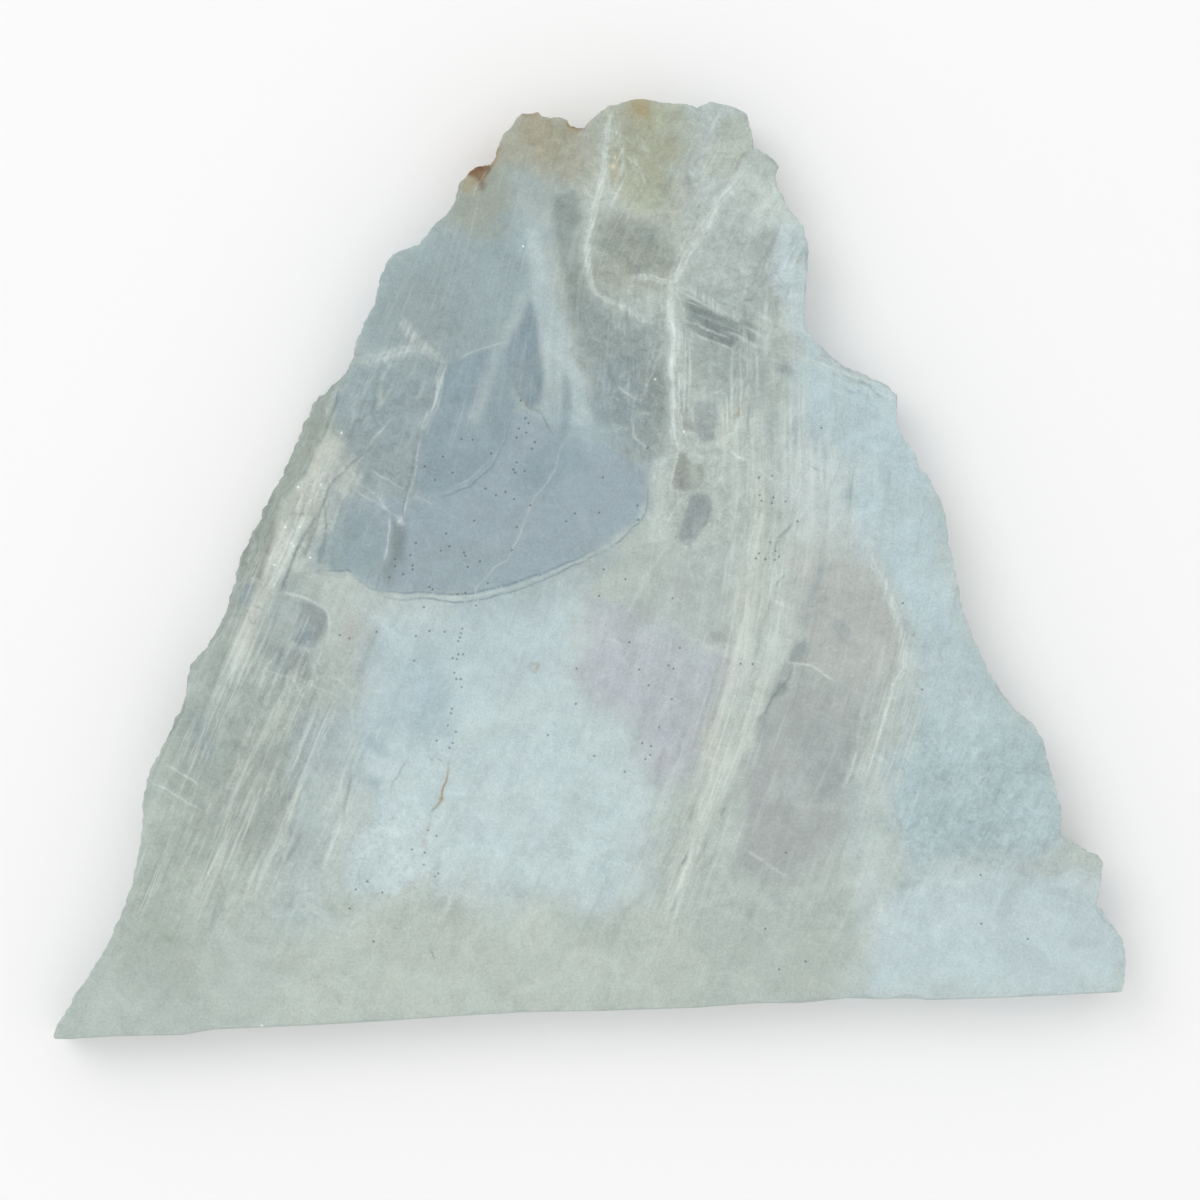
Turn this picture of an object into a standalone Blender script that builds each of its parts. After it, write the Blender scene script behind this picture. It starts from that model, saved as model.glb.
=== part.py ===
"""Selenite slab: one slice sawn from a mass of crystal, lying on its sawn back face.

The two large faces are flat. The long near side is a straight saw cut. The other sides are
the broken skin of the mass, which parted in plates along its cleavage. Metres, +Z up, with
the origin under the middle of the slab's box.
"""

import bpy
import numpy as np

# ---- driving dimensions ----
MM = 0.001
SLAB_WIDTH = 134.4 * MM       # along X, from the low tip to the far corner
SLAB_DEPTH = 118.0 * MM       # along Y, from the saw cut to the crest
THICKNESS = 8.0 * MM

# The plan is drawn in millimetres at this width and depth, about the middle of its box.
DRAWN_WIDTH = 134.4
DRAWN_DEPTH = 118.0
LONGEST_RUN = 1.3             # mm between neighbouring points of the outline
RAGGED = 0.11                 # mm that a point added on a broken side strays
TURNING_REACH = 5.0           # mm of outline over which the inward direction is averaged

# Heights of the wall's rings, as shares of the thickness. Each plate of the broken side
# lies between an even ring and the ring above it, so the bands between plates are ledges.
RING_HEIGHTS = (0.0, 0.06, 0.25, 0.29, 0.49, 0.53, 0.73, 0.77, 0.945, 1.0)
HEIGHT_WANDER = 0.055         # share of the thickness that a ledge rises and falls
PLATE_DEPTHS = (1.4, 1.25, 1.0, 0.75, 0.2)   # mm that each plate may stand back, lowest first
FACET_LEAN = 5.0              # mm that the plates' facets shift along the wall from bottom to top
UNDERCUT = 1.3                # mm that the wall draws in towards the back face
ARRIS = 0.22                  # mm lost from the edge of each face
SAWN_LEAN = 0.3               # mm that the saw cut leans in from bottom to top

# A long strip of the broken skin slopes in below the upper face, along the low left side.
# Each entry is a Y place in mm and the width of the strip there.
SKIN_STRIP = ((-24.0, 0.0), (-12.0, 0.9), (-4.0, 2.6), (1.0, 3.4), (6.0, 2.7), (11.0, 3.1),
              (16.0, 3.7), (21.0, 3.6), (24.3, 0.8), (27.0, 0.3), (31.0, 0.0))
STRIP_FOOT = 0.25             # share of the thickness where the sloping strip starts

# Shallow flakes lost from the upper edge: X, Y, reach along the edge and depth, in mm.
FLAKES = ((33.5, 25.2, 6.0, 1.5), (61.5, -34.6, 3.6, 1.3), (-12.2, 51.6, 1.9, 0.9),
          (-1.0, 55.5, 2.2, 0.8), (22.4, 51.9, 1.8, 1.0), (43.4, 10.6, 2.4, 0.7),
          (-52.0, -18.6, 2.6, 0.8), (64.6, -43.0, 2.2, 0.8), (27.4, 39.5, 2.6, 0.6),
          (40.0, -54.1, 2.4, 0.6), (-16.6, 47.2, 2.0, 0.7))

# ---- the plan, clockwise from the low tip, in mm ----
LEFT_SIDE = (
    (-67.2, -58.4), (-66.7, -57.0), (-64.75, -53.8), (-62.45, -50.25), (-59.8, -45.7),
    (-58.1, -41.75), (-57.15, -38.75), (-56.5, -35.0), (-56.0, -31.0), (-55.85, -28.1),
    (-55.15, -25.5), (-53.0, -21.0), (-52.1, -18.6), (-51.3, -17.6), (-50.7, -15.45),
    (-50.55, -14.1), (-49.95, -11.8), (-48.35, -9.75), (-47.2, -7.9), (-46.1, -5.4),
    (-45.45, -2.7), (-44.3, 1.65), (-42.7, 5.0), (-41.3, 7.55), (-39.5, 11.0),
    (-37.5, 15.4), (-35.8, 19.6), (-35.15, 21.35), (-34.6, 22.1), (-33.65, 22.45),
    (-33.15, 22.95), (-32.45, 23.1), (-30.6, 24.75), (-29.55, 27.2), (-29.35, 28.55),
    (-28.35, 30.9), (-27.1, 33.3), (-26.15, 36.85), (-25.7, 37.9), (-24.4, 39.7),
    (-22.6, 40.4), (-21.35, 40.8), (-20.0, 42.55), (-19.4, 43.4), (-18.1, 44.2),
    (-17.0, 46.1), (-16.25, 48.4), (-15.05, 49.9), (-14.05, 50.55), (-12.55, 50.85),
    (-11.8, 52.55), (-10.95, 54.4), (-9.95, 55.3), (-9.2, 56.7), (-8.45, 57.3))
CREST = (
    (-6.45, 57.4), (-6.0, 56.9), (-3.7, 56.7), (-2.8, 56.4), (-2.45, 55.7), (-0.7, 55.55),
    (0.45, 56.7), (2.3, 58.05), (5.05, 58.85), (6.8, 59.0), (10.8, 58.3), (11.95, 58.35),
    (13.55, 57.85), (15.2, 58.6), (18.45, 57.85), (19.8, 57.05))
RIGHT_SIDE = (
    (20.05, 55.8), (20.45, 54.7), (20.5, 52.7), (21.3, 52.7), (22.5, 52.1), (23.7, 50.4),
    (23.4, 49.0), (23.45, 47.95), (25.0, 45.05), (26.85, 42.95), (27.5, 40.6),
    (27.45, 38.6), (27.05, 33.7), (26.95, 30.5), (28.2, 28.75), (30.0, 26.95),
    (33.95, 25.0), (37.5, 23.05), (38.55, 21.9), (38.5, 18.35), (39.05, 17.0),
    (40.45, 15.15), (41.05, 13.7), (41.6, 12.45), (43.0, 11.3), (43.4, 10.45),
    (44.05, 9.4), (44.6, 6.9), (44.95, 3.4), (45.5, 2.0), (45.8, -0.3), (46.5, -3.85),
    (47.2, -6.1), (48.0, -8.3), (49.25, -11.0), (50.25, -13.1), (51.9, -15.7),
    (53.5, -17.6), (55.85, -19.4), (56.75, -21.25), (57.45, -24.1), (58.6, -27.6),
    (59.1, -30.55), (59.1, -32.8), (59.8, -33.75), (61.5, -34.65), (63.55, -35.65),
    (64.4, -36.7), (64.05, -38.95), (63.65, -41.6), (64.7, -42.75), (65.85, -44.8),
    (66.8, -46.25), (67.2, -48.65), (67.0, -50.95), (66.65, -52.95))
SAW_CUT = (
    (65.8, -53.15), (60.2, -53.45), (50.65, -53.9), (42.1, -54.15), (32.4, -53.9),
    (26.4, -54.5), (20.45, -54.55), (13.25, -55.1), (1.3, -55.5), (-8.1, -55.65),
    (-17.3, -56.2), (-29.3, -57.0), (-39.1, -57.5), (-46.95, -57.8), (-50.9, -58.5),
    (-59.0, -58.65), (-65.15, -59.0), (-67.1, -58.9))

CRYSTAL_COLOUR = (0.52, 0.58, 0.57, 1.0)
CRYSTAL_ROUGHNESS = 0.32


def clear_scene():
    """Remove every object, so the script can be run again."""
    for thing in list(bpy.data.objects):
        bpy.data.objects.remove(thing, do_unlink=True)


def crystal_material():
    """Pale grey-green crystal with a low polish."""
    material = bpy.data.materials.new("selenite")
    material.use_nodes = True
    shader = material.node_tree.nodes["Principled BSDF"]
    shader.inputs["Base Color"].default_value = CRYSTAL_COLOUR
    shader.inputs["Roughness"].default_value = CRYSTAL_ROUGHNESS
    shader.inputs["Metallic"].default_value = 0.0
    return material


def wander(place, total, spacing, seed):
    """Facets along the outline: values from -1 to 1 at uneven knots, joined by straights."""
    draw = np.random.default_rng(seed)
    count = max(4, int(total / spacing))
    knots = (np.arange(count) + draw.uniform(-0.4, 0.4, count)) * total / count
    return np.interp(place, knots, draw.uniform(-1.0, 1.0, count), period=total)


def run_lengths(points):
    """Distance along the closed outline to each point, and the distance all round."""
    runs = np.linalg.norm(np.roll(points, -1, axis=0) - points, axis=1)
    return np.concatenate([[0.0], np.cumsum(runs)[:-1]]), runs.sum()


def outline():
    """Corners of the plan with points added on its long runs, and where a side is broken."""
    corners = np.array(LEFT_SIDE + CREST + RIGHT_SIDE + SAW_CUT)
    sawn_from = len(corners) - len(SAW_CUT)
    draw = np.random.default_rng(7)
    points = []
    broken = []
    for index, corner in enumerate(corners):
        after = corners[(index + 1) % len(corners)]
        run = after - corner
        length = np.linalg.norm(run)
        parts = int(np.ceil(length / LONGEST_RUN))
        is_broken = index < sawn_from
        for part in range(parts):
            stray = draw.uniform(-RAGGED, RAGGED) if part and is_broken else 0.0
            across = np.array((run[1], -run[0])) / length
            points.append(corner + run * part / parts + across * stray)
            broken.append(1.0 if is_broken else 0.0)
    return np.array(points), np.array(broken)


def inward_directions(points):
    """Unit directions into the plan, turning slowly past nicks so that rings never cross."""
    place, total = run_lengths(points)
    samples = 1024
    even = np.arange(samples) * total / samples
    reach = int(TURNING_REACH * samples / total)
    kernel = np.hanning(4 * reach + 1)
    kernel /= kernel.sum()
    smooth = []
    for axis in range(2):
        line = np.interp(even, place, points[:, axis], period=total)
        wrapped = np.concatenate([line[-2 * reach:], line, line[:2 * reach]])
        smooth.append(np.convolve(wrapped, kernel, mode="valid"))
    along = [np.roll(line, -1) - np.roll(line, 1) for line in smooth]
    length = np.hypot(along[0], along[1])
    inward = np.stack([along[1] / length, -along[0] / length], axis=1)
    inward = np.stack([np.interp(place, even, inward[:, axis], period=total) for axis in range(2)], axis=1)
    return inward / np.linalg.norm(inward, axis=1, keepdims=True)


def strip_width(points):
    """Width of the sloping strip of skin, which is only on the left side."""
    places = [entry[0] for entry in SKIN_STRIP]
    widths = [entry[1] for entry in SKIN_STRIP]
    width = np.interp(points[:, 1], places, widths)
    return np.where(points[:, 0] < -20.0, width, 0.0)


def flake_depth(points):
    """Depth of the flakes lost from the upper edge."""
    depth = np.zeros(len(points))
    for x, y, reach, deepest in FLAKES:
        near = np.hypot(points[:, 0] - x, points[:, 1] - y) / reach
        depth = np.maximum(depth, deepest * np.clip(1.3 - 1.3 * near, 0.0, 1.0))
    return depth


def wall_rings(points, broken):
    """Inset and height of each ring of the wall, in mm, as arrays of ring by point."""
    place, total = run_lengths(points)
    thickness = THICKNESS / MM
    widest = 0.75 + 0.2 * wander(place, total, 21.0, 11)
    strip = strip_width(points)
    insets = []
    heights = []
    for ring, share in enumerate(RING_HEIGHTS):
        plate = ring // 2
        leaning = place + FACET_LEAN * share
        step = PLATE_DEPTHS[plate] * (0.5 + 0.5 * wander(leaning, total, 5.5, 20 + plate))
        step = step + 0.2 * PLATE_DEPTHS[plate] * wander(leaning, total, 2.6, 40 + ring)
        bow = UNDERCUT * np.clip(widest - share, 0.0, 1.0) ** 2
        slope = strip * max(0.0, share - STRIP_FOOT) / (1.0 - STRIP_FOOT)
        insets.append((step + bow) * broken + slope)
        inner = 0 < ring < len(RING_HEIGHTS) - 1
        rise = HEIGHT_WANDER * wander(place, total, 8.0, 60 + plate) if inner and 0.1 < share < 0.9 else 0.0
        heights.append(thickness * (share + rise * broken))
    insets = np.array(insets) + (1.0 - broken) * SAWN_LEAN * np.array(RING_HEIGHTS)[:, None]
    insets[0] += ARRIS
    insets[-1] += ARRIS + flake_depth(points)
    insets[-2] += 0.45 * flake_depth(points)
    return insets - insets.min(axis=0), np.array(heights)


def slab_mesh():
    """Stack the rings into a wall and close it with the two flat faces."""
    points, broken = outline()
    inward = inward_directions(points)
    insets, heights = wall_rings(points, broken)
    scale = np.array((SLAB_WIDTH / DRAWN_WIDTH, SLAB_DEPTH / DRAWN_DEPTH))
    plan = (points[None] + inward[None] * insets[..., None]) * scale
    vertices = np.concatenate([plan, heights[..., None] * MM], axis=2)
    rings, count = insets.shape
    faces = [list(range(count)), [(rings - 1) * count + index for index in reversed(range(count))]]
    for ring in range(rings - 1):
        for index in range(count):
            after = (index + 1) % count
            low = ring * count
            high = low + count
            faces.append([low + index, high + index, high + after, low + after])
    mesh = bpy.data.meshes.new("slab")
    mesh.from_pydata(vertices.reshape(-1, 3).tolist(), [], faces)
    mesh.validate()
    mesh.update()
    return mesh


def build():
    clear_scene()
    slab = bpy.data.objects.new("slab", slab_mesh())
    slab.data.materials.append(crystal_material())
    bpy.context.scene.collection.objects.link(slab)


build()
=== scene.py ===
import math
import bpy
import numpy as np
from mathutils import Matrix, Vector
from mathutils.geometry import delaunay_2d_cdt


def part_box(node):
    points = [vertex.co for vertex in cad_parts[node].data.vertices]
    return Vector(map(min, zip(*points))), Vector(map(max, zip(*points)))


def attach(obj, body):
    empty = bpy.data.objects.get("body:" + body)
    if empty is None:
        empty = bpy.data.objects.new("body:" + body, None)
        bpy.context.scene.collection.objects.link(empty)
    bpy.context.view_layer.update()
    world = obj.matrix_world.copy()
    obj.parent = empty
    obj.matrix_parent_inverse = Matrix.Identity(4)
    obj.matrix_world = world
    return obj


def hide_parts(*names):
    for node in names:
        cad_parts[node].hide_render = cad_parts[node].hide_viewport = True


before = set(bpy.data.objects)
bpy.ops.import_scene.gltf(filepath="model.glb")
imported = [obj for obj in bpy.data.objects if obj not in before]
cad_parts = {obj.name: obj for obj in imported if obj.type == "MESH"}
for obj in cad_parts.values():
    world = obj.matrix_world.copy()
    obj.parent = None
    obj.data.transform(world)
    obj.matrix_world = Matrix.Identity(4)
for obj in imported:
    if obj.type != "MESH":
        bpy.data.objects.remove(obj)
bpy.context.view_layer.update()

mm = 0.001
print("frame loaded")


# Plan of the slab in millimetres, clockwise from the low tip, about the middle of its box.
leftSide = (
    (-67.2, -58.4), (-66.7, -57.0), (-64.75, -53.8), (-62.45, -50.25), (-59.8, -45.7),
    (-58.1, -41.75), (-57.15, -38.75), (-56.5, -35.0), (-56.0, -31.0), (-55.85, -28.1),
    (-55.15, -25.5), (-53.0, -21.0), (-52.1, -18.6), (-51.3, -17.6), (-50.7, -15.45),
    (-50.55, -14.1), (-49.95, -11.8), (-48.35, -9.75), (-47.2, -7.9), (-46.1, -5.4),
    (-45.45, -2.7), (-44.3, 1.65), (-42.7, 5.0), (-41.3, 7.55), (-39.5, 11.0),
    (-37.5, 15.4), (-35.8, 19.6), (-35.15, 21.35), (-34.6, 22.1), (-33.65, 22.45),
    (-33.15, 22.95), (-32.45, 23.1), (-30.6, 24.75), (-29.55, 27.2), (-29.35, 28.55),
    (-28.35, 30.9), (-27.1, 33.3), (-26.15, 36.85), (-25.7, 37.9), (-24.4, 39.7),
    (-22.6, 40.4), (-21.35, 40.8), (-20.0, 42.55), (-19.4, 43.4), (-18.1, 44.2),
    (-17.0, 46.1), (-16.25, 48.4), (-15.05, 49.9), (-14.05, 50.55), (-12.55, 50.85),
    (-11.8, 52.55), (-10.95, 54.4), (-9.95, 55.3), (-9.2, 56.7), (-8.45, 57.3))
crest = (
    (-6.45, 57.4), (-6.0, 56.9), (-3.7, 56.7), (-2.8, 56.4), (-2.45, 55.7), (-0.7, 55.55),
    (0.45, 56.7), (2.3, 58.05), (5.05, 58.85), (6.8, 59.0), (10.8, 58.3), (11.95, 58.35),
    (13.55, 57.85), (15.2, 58.6), (18.45, 57.85), (19.8, 57.05))
rightSide = (
    (20.05, 55.8), (20.45, 54.7), (20.5, 52.7), (21.3, 52.7), (22.5, 52.1), (23.7, 50.4),
    (23.4, 49.0), (23.45, 47.95), (25.0, 45.05), (26.85, 42.95), (27.5, 40.6),
    (27.45, 38.6), (27.05, 33.7), (26.95, 30.5), (28.2, 28.75), (30.0, 26.95),
    (33.95, 25.0), (37.5, 23.05), (38.55, 21.9), (38.5, 18.35), (39.05, 17.0),
    (40.45, 15.15), (41.05, 13.7), (41.6, 12.45), (43.0, 11.3), (43.4, 10.45),
    (44.05, 9.4), (44.6, 6.9), (44.95, 3.4), (45.5, 2.0), (45.8, -0.3), (46.5, -3.85),
    (47.2, -6.1), (48.0, -8.3), (49.25, -11.0), (50.25, -13.1), (51.9, -15.7),
    (53.5, -17.6), (55.85, -19.4), (56.75, -21.25), (57.45, -24.1), (58.6, -27.6),
    (59.1, -30.55), (59.1, -32.8), (59.8, -33.75), (61.5, -34.65), (63.55, -35.65),
    (64.4, -36.7), (64.05, -38.95), (63.65, -41.6), (64.7, -42.75), (65.85, -44.8),
    (66.8, -46.25), (67.2, -48.65), (67.0, -50.95), (66.65, -52.95))
sawCut = (
    (65.8, -53.15), (60.2, -53.45), (50.65, -53.9), (42.1, -54.15), (32.4, -53.9),
    (26.4, -54.5), (20.45, -54.55), (13.25, -55.1), (1.3, -55.5), (-8.1, -55.65),
    (-17.3, -56.2), (-29.3, -57.0), (-39.1, -57.5), (-46.95, -57.8), (-50.9, -58.5),
    (-59.0, -58.65), (-65.15, -59.0), (-67.1, -58.9))

slabForm = {
    "longestRun": 1.3,          # mm between neighbouring points of the coarse outline
    "ragged": 0.11,             # mm that an added point strays
    "turningReach": 5.0,        # mm over which the inward direction is averaged
    "ringHeights": (0.0, 0.06, 0.25, 0.29, 0.49, 0.53, 0.73, 0.77, 0.945, 1.0),
    "heightWander": 0.055,      # share of the thickness that a ring wanders up and down
    "plateDepths": (1.4, 1.25, 1.0, 0.75, 0.2),  # mm that the cleavage plates stand back, low to high
    "facetLean": 5.0,           # mm along the outline that facets lean over the thickness
    "undercut": 1.3,            # mm that the low part of a broken side draws in
    "arris": 0.22,              # mm taken off the sharp edges
    "sawnLean": 0.3,            # mm that the sawn side leans over the thickness
    "stripFoot": 0.25,          # share of the thickness where the sloping skin starts
    # Sloping strip of skin on the left side: height on the plan and width, in mm.
    "skinStrip": ((-24.0, 0.0), (-12.0, 0.9), (-4.0, 2.6), (1.0, 3.4), (6.0, 2.7), (11.0, 3.1),
                  (16.0, 3.7), (21.0, 3.6), (24.3, 0.8), (27.0, 0.3), (31.0, 0.0)),
    # Flakes lost from the rim: x, y, reach and depth, in mm.
    "flakes": ((33.5, 25.2, 6.0, 1.5), (61.5, -34.6, 3.6, 1.3), (-12.2, 51.6, 1.9, 0.9),
               (-1.0, 55.5, 2.2, 0.8), (22.4, 51.9, 1.8, 1.0), (43.4, 10.6, 2.4, 0.7),
               (-52.0, -18.6, 2.6, 0.8), (64.6, -43.0, 2.2, 0.8), (27.4, 39.5, 2.6, 0.6),
               (40.0, -54.1, 2.4, 0.6), (-16.6, 47.2, 2.0, 0.7)),
    "outlineSplit": 3,          # fine points for each coarse one
    "wallSplit": (2, 3, 1, 3, 1, 3, 1, 3, 2),   # fine bands in each band between rings
    "splinterDepth": 0.28,      # mm that the fine splinters cut into the broken sides
    "faceSpacing": 0.47,        # mm between points of the polished face
    "backSpacing": 1.15,        # mm between points of the back
    "pitDepth": 0.14,           # mm
}


def wander(place, total, spacing, seed):
    # Facets along the outline: random values at uneven knots, joined by straight lines.
    draw = np.random.default_rng(seed)
    count = max(4, int(total / spacing))
    knots = (np.arange(count) + draw.uniform(-0.4, 0.4, count)) * total / count
    return np.interp(place, knots, draw.uniform(-1.0, 1.0, count), period=total)


def softNoise(x, y, size, seed):
    # Value noise: random heights at the corners of squares, blended by a smooth step.
    draw = np.random.default_rng(seed)
    table = draw.uniform(-1.0, 1.0, (64, 64))
    column, row = np.floor(x / size).astype(int), np.floor(y / size).astype(int)
    u, v = x / size - column, y / size - row
    u, v = u * u * (3.0 - 2.0 * u), v * v * (3.0 - 2.0 * v)
    low = table[row % 64, column % 64] * (1 - u) + table[row % 64, (column + 1) % 64] * u
    high = table[(row + 1) % 64, column % 64] * (1 - u) + table[(row + 1) % 64, (column + 1) % 64] * u
    return low * (1 - v) + high * v


def runLengths(points):
    runs = np.linalg.norm(np.roll(points, -1, axis=0) - points, axis=1)
    return np.concatenate([[0.0], np.cumsum(runs)[:-1]]), runs.sum()


def slabOutline():
    # Each straight of the plan is parted into equal runs, and points added on broken sides stray.
    corners = np.array(leftSide + crest + rightSide + sawCut)
    after = np.roll(corners, -1, axis=0)
    length = np.linalg.norm(after - corners, axis=1)
    parts = np.ceil(length / slabForm["longestRun"]).astype(int)
    edge = np.repeat(np.arange(len(corners)), parts)
    part = np.arange(parts.sum()) - np.repeat(np.cumsum(parts) - parts, parts)
    broken = (edge < len(corners) - len(sawCut)).astype(float)
    run = (after - corners)[edge]
    across = np.stack([run[:, 1], -run[:, 0]], axis=1) / length[edge][:, None]
    stray = np.zeros(len(edge))
    added = (part > 0) & (broken > 0)
    stray[added] = np.random.default_rng(7).uniform(-slabForm["ragged"], slabForm["ragged"], added.sum())
    points = corners[edge] + run * (part / parts[edge])[:, None] + across * stray[:, None]
    return points, broken


def inwardDirections(points):
    # The outline is averaged over a few millimetres, and inward is square to that smooth line.
    place, total = runLengths(points)
    samples = 1024
    even = np.arange(samples) * total / samples
    reach = int(slabForm["turningReach"] * samples / total)
    kernel = np.hanning(4 * reach + 1)
    kernel /= kernel.sum()
    smooth = []
    for axis in range(2):
        line = np.interp(even, place, points[:, axis], period=total)
        wrapped = np.concatenate([line[-2 * reach:], line, line[:2 * reach]])
        smooth.append(np.convolve(wrapped, kernel, mode="valid"))
    along = [np.roll(line, -1) - np.roll(line, 1) for line in smooth]
    inward = [np.interp(place, even, along[1], period=total), np.interp(place, even, -along[0], period=total)]
    inward = np.stack(inward, axis=1)
    return inward / np.linalg.norm(inward, axis=1, keepdims=True)


def wallRings(points, broken, thickness):
    # The broken wall is a stack of cleavage plates, each standing back by its own wandering step.
    place, total = runLengths(points)
    form = slabForm
    widest = 0.75 + 0.2 * wander(place, total, 21.0, 11)
    strip = np.interp(points[:, 1], *np.array(form["skinStrip"]).T)
    strip = np.where(points[:, 0] < -20.0, strip, 0.0)
    flake = np.zeros(len(points))
    for x, y, reach, deepest in form["flakes"]:
        near = np.hypot(points[:, 0] - x, points[:, 1] - y) / reach
        flake = np.maximum(flake, deepest * np.clip(1.3 - 1.3 * near, 0.0, 1.0))
    insets, heights = [], []
    for ring, share in enumerate(form["ringHeights"]):
        plate = ring // 2
        depth = form["plateDepths"][plate]
        leaning = place + form["facetLean"] * share
        step = depth * (0.5 + 0.5 * wander(leaning, total, 5.5, 20 + plate))
        step = step + 0.2 * depth * wander(leaning, total, 2.6, 40 + ring)
        bow = form["undercut"] * np.clip(widest - share, 0.0, 1.0) ** 2
        slope = strip * max(0.0, share - form["stripFoot"]) / (1.0 - form["stripFoot"])
        insets.append((step + bow) * broken + slope + (1.0 - broken) * form["sawnLean"] * share)
        rise = form["heightWander"] * wander(place, total, 8.0, 60 + plate) if 0.1 < share < 0.9 else 0.0
        heights.append(thickness * (share + rise * broken))
    insets = np.array(insets)
    insets[0] += form["arris"]
    insets[-1] += form["arris"] + flake
    insets[-2] += 0.45 * flake
    return insets - insets.min(axis=0), np.array(heights)


def splitAlong(values, split):
    # Puts evenly spaced values between each one and the next, round the closed outline.
    share = np.arange(split) / split
    after = np.roll(values, -1, axis=-1)
    fine = values[..., None] * (1 - share) + after[..., None] * share
    return fine.reshape(*values.shape[:-1], -1)


def splitUp(values, splits):
    # Puts fine rings between each ring and the one above, as many as each band asks for.
    ring = np.repeat(np.arange(len(splits)), splits)
    share = (np.arange(len(ring)) - np.repeat(np.cumsum(splits) - splits, splits)) / np.repeat(splits, splits)
    fine = values[ring] * (1 - share)[:, None] + values[ring + 1] * share[:, None]
    return np.concatenate([fine, values[-1:]])


def slabWall(low, high):
    # Plan places and heights of the fine rings, in mm, as ring by point.
    thickness = (high[2] - low[2]) / mm
    points, broken = slabOutline()
    inward = inwardDirections(points)
    insets, heights = wallRings(points, broken, thickness)
    split = slabForm["outlineSplit"]
    splits = np.array(slabForm["wallSplit"])
    points = splitAlong(points.T, split).T
    inward = splitAlong(inward.T, split).T
    broken = splitAlong(broken, split)
    insets = splitUp(splitAlong(insets, split), splits)
    heights = splitUp(splitAlong(heights, split), splits)
    share = heights / thickness
    # Splinters: saw-toothed ridges along the cleavage, which leans across the thickness.
    place, total = runLengths(points)
    lean = place[None] + 0.55 * heights
    ridge = np.abs((lean / 1.9 + 0.6 * softNoise(place[None] + 0 * lean, heights, 2.3, 5)) % 1.0 - 0.35)
    fine = np.abs((lean / 0.73 + 0.8 * softNoise(lean, heights * 2, 1.4, 6)) % 1.0 - 0.3)
    rough = 0.9 * ridge + 0.5 * fine + 0.5 * softNoise(lean, heights * 1.7, 0.8, 8)
    inner = np.clip(np.minimum(share, 1 - share) / 0.06, 0.0, 1.0)
    insets = insets + slabForm["splinterDepth"] * np.clip(rough, 0.0, None) * inner * broken
    rim = 0.12 * np.clip(softNoise(place, place * 0, 0.9, 12), 0.0, 1.0) * broken
    insets[-1] += rim
    insets[0] += rim
    plan = points[None] + inward[None] * insets[..., None]
    return plan, heights, broken


# Tones of the crystal, with the painted glint highlights among them, as red, green and blue out of 255.
tones = {
    "base": (181, 191, 185), "lowGreen": (168, 179, 170), "lowPale": (187, 197, 189),
    "milk": (193, 208, 209), "milkBlue": (191, 206, 208), "iceBlue": (176, 193, 198),
    "rightBlue": (175, 193, 196), "marginBlue": (185, 202, 206), "upperHaze": (194, 205, 203),
    "mauve": (180, 185, 181), "mauveDeep": (168, 175, 173), "lilac": (182, 189, 193),
    "stone": (178, 188, 186), "film": (156, 171, 178), "filmDeep": (144, 161, 169), "haze": (158, 174, 176),
    "hazeDeep": (152, 165, 166), "kite": (135, 152, 160), "tongue": (180, 195, 196),
    "olive": (149, 161, 159), "oliveWarm": (158, 165, 154), "oliveDark": (137, 148, 144),
    "crest": (168, 172, 153), "crestLeft": (165, 165, 149), "tan": (168, 160, 134),
    "ochre": (164, 150, 108), "brown": (104, 70, 26), "rust": (152, 122, 78), "bluish": (166, 182, 186),
    "pale": (199, 209, 203), "veinPale": (196, 206, 201), "cream": (197, 203, 193),
    "white": (222, 230, 227), "crushed": (197, 202, 194), "rind": (163, 174, 165),
    "rindDark": (152, 163, 155), "stripGrey": (163, 173, 167), "smoke": (143, 154, 155),
    "smokeBrown": (146, 151, 145), "shadow": (118, 130, 131), "ink": (66, 76, 74), "dusk": (148, 162, 164),
    "slate": (155, 171, 176), "smudge": (160, 178, 184), "flake": (201, 213, 213),
    "glintHighlight": (246, 250, 246), "filmLeft": (146, 163, 166), "wedge": (120, 131, 129),
    "rimBlue": (112, 133, 145), "lilacDeep": (161, 165, 170), "stoneWarm": (176, 185, 173),
    "crestLow": (158, 166, 156), "crestBlue": (163, 175, 173), "gold": (252, 226, 168),
}

# Paths that more than one marking follows, as x and y.
rightStem = (19.5, 0, 19.3, -5, 18.9, -8, 18.3, -11, 17.5, -14, 16.7, -17, 15.8, -20, 15.3, -23, 15, -26,
    14.5, -29)
lowStem = (22.5, -12, 21.8, -14, 21, -16, 20.5, -18, 19.8, -20, 18.5, -22, 17.3, -24.5, 16, -27, 14.5,
    -29.5, 13.5, -32, 12.8, -34, 12, -35.5, 11.2, -37.5, 10.6, -39.5, 10.2, -41.5, 9.8, -43)
leftLedge = (-29, 25.8, -25, 26.8, -21, 27.5)
filmShoulder = (-23.5, 31.5, -22.3, 29, -20.5, 27.8, -18.3, 26)
upperStep = (5, 36.6, 7, 36.7, 8.5, 36.2, 10.2, 35.6)
filmSide = (-18.3, 26, -18.6, 25, -19, 22.8, -19.5, 20.5, -20.3, 19, -21, 17)

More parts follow.
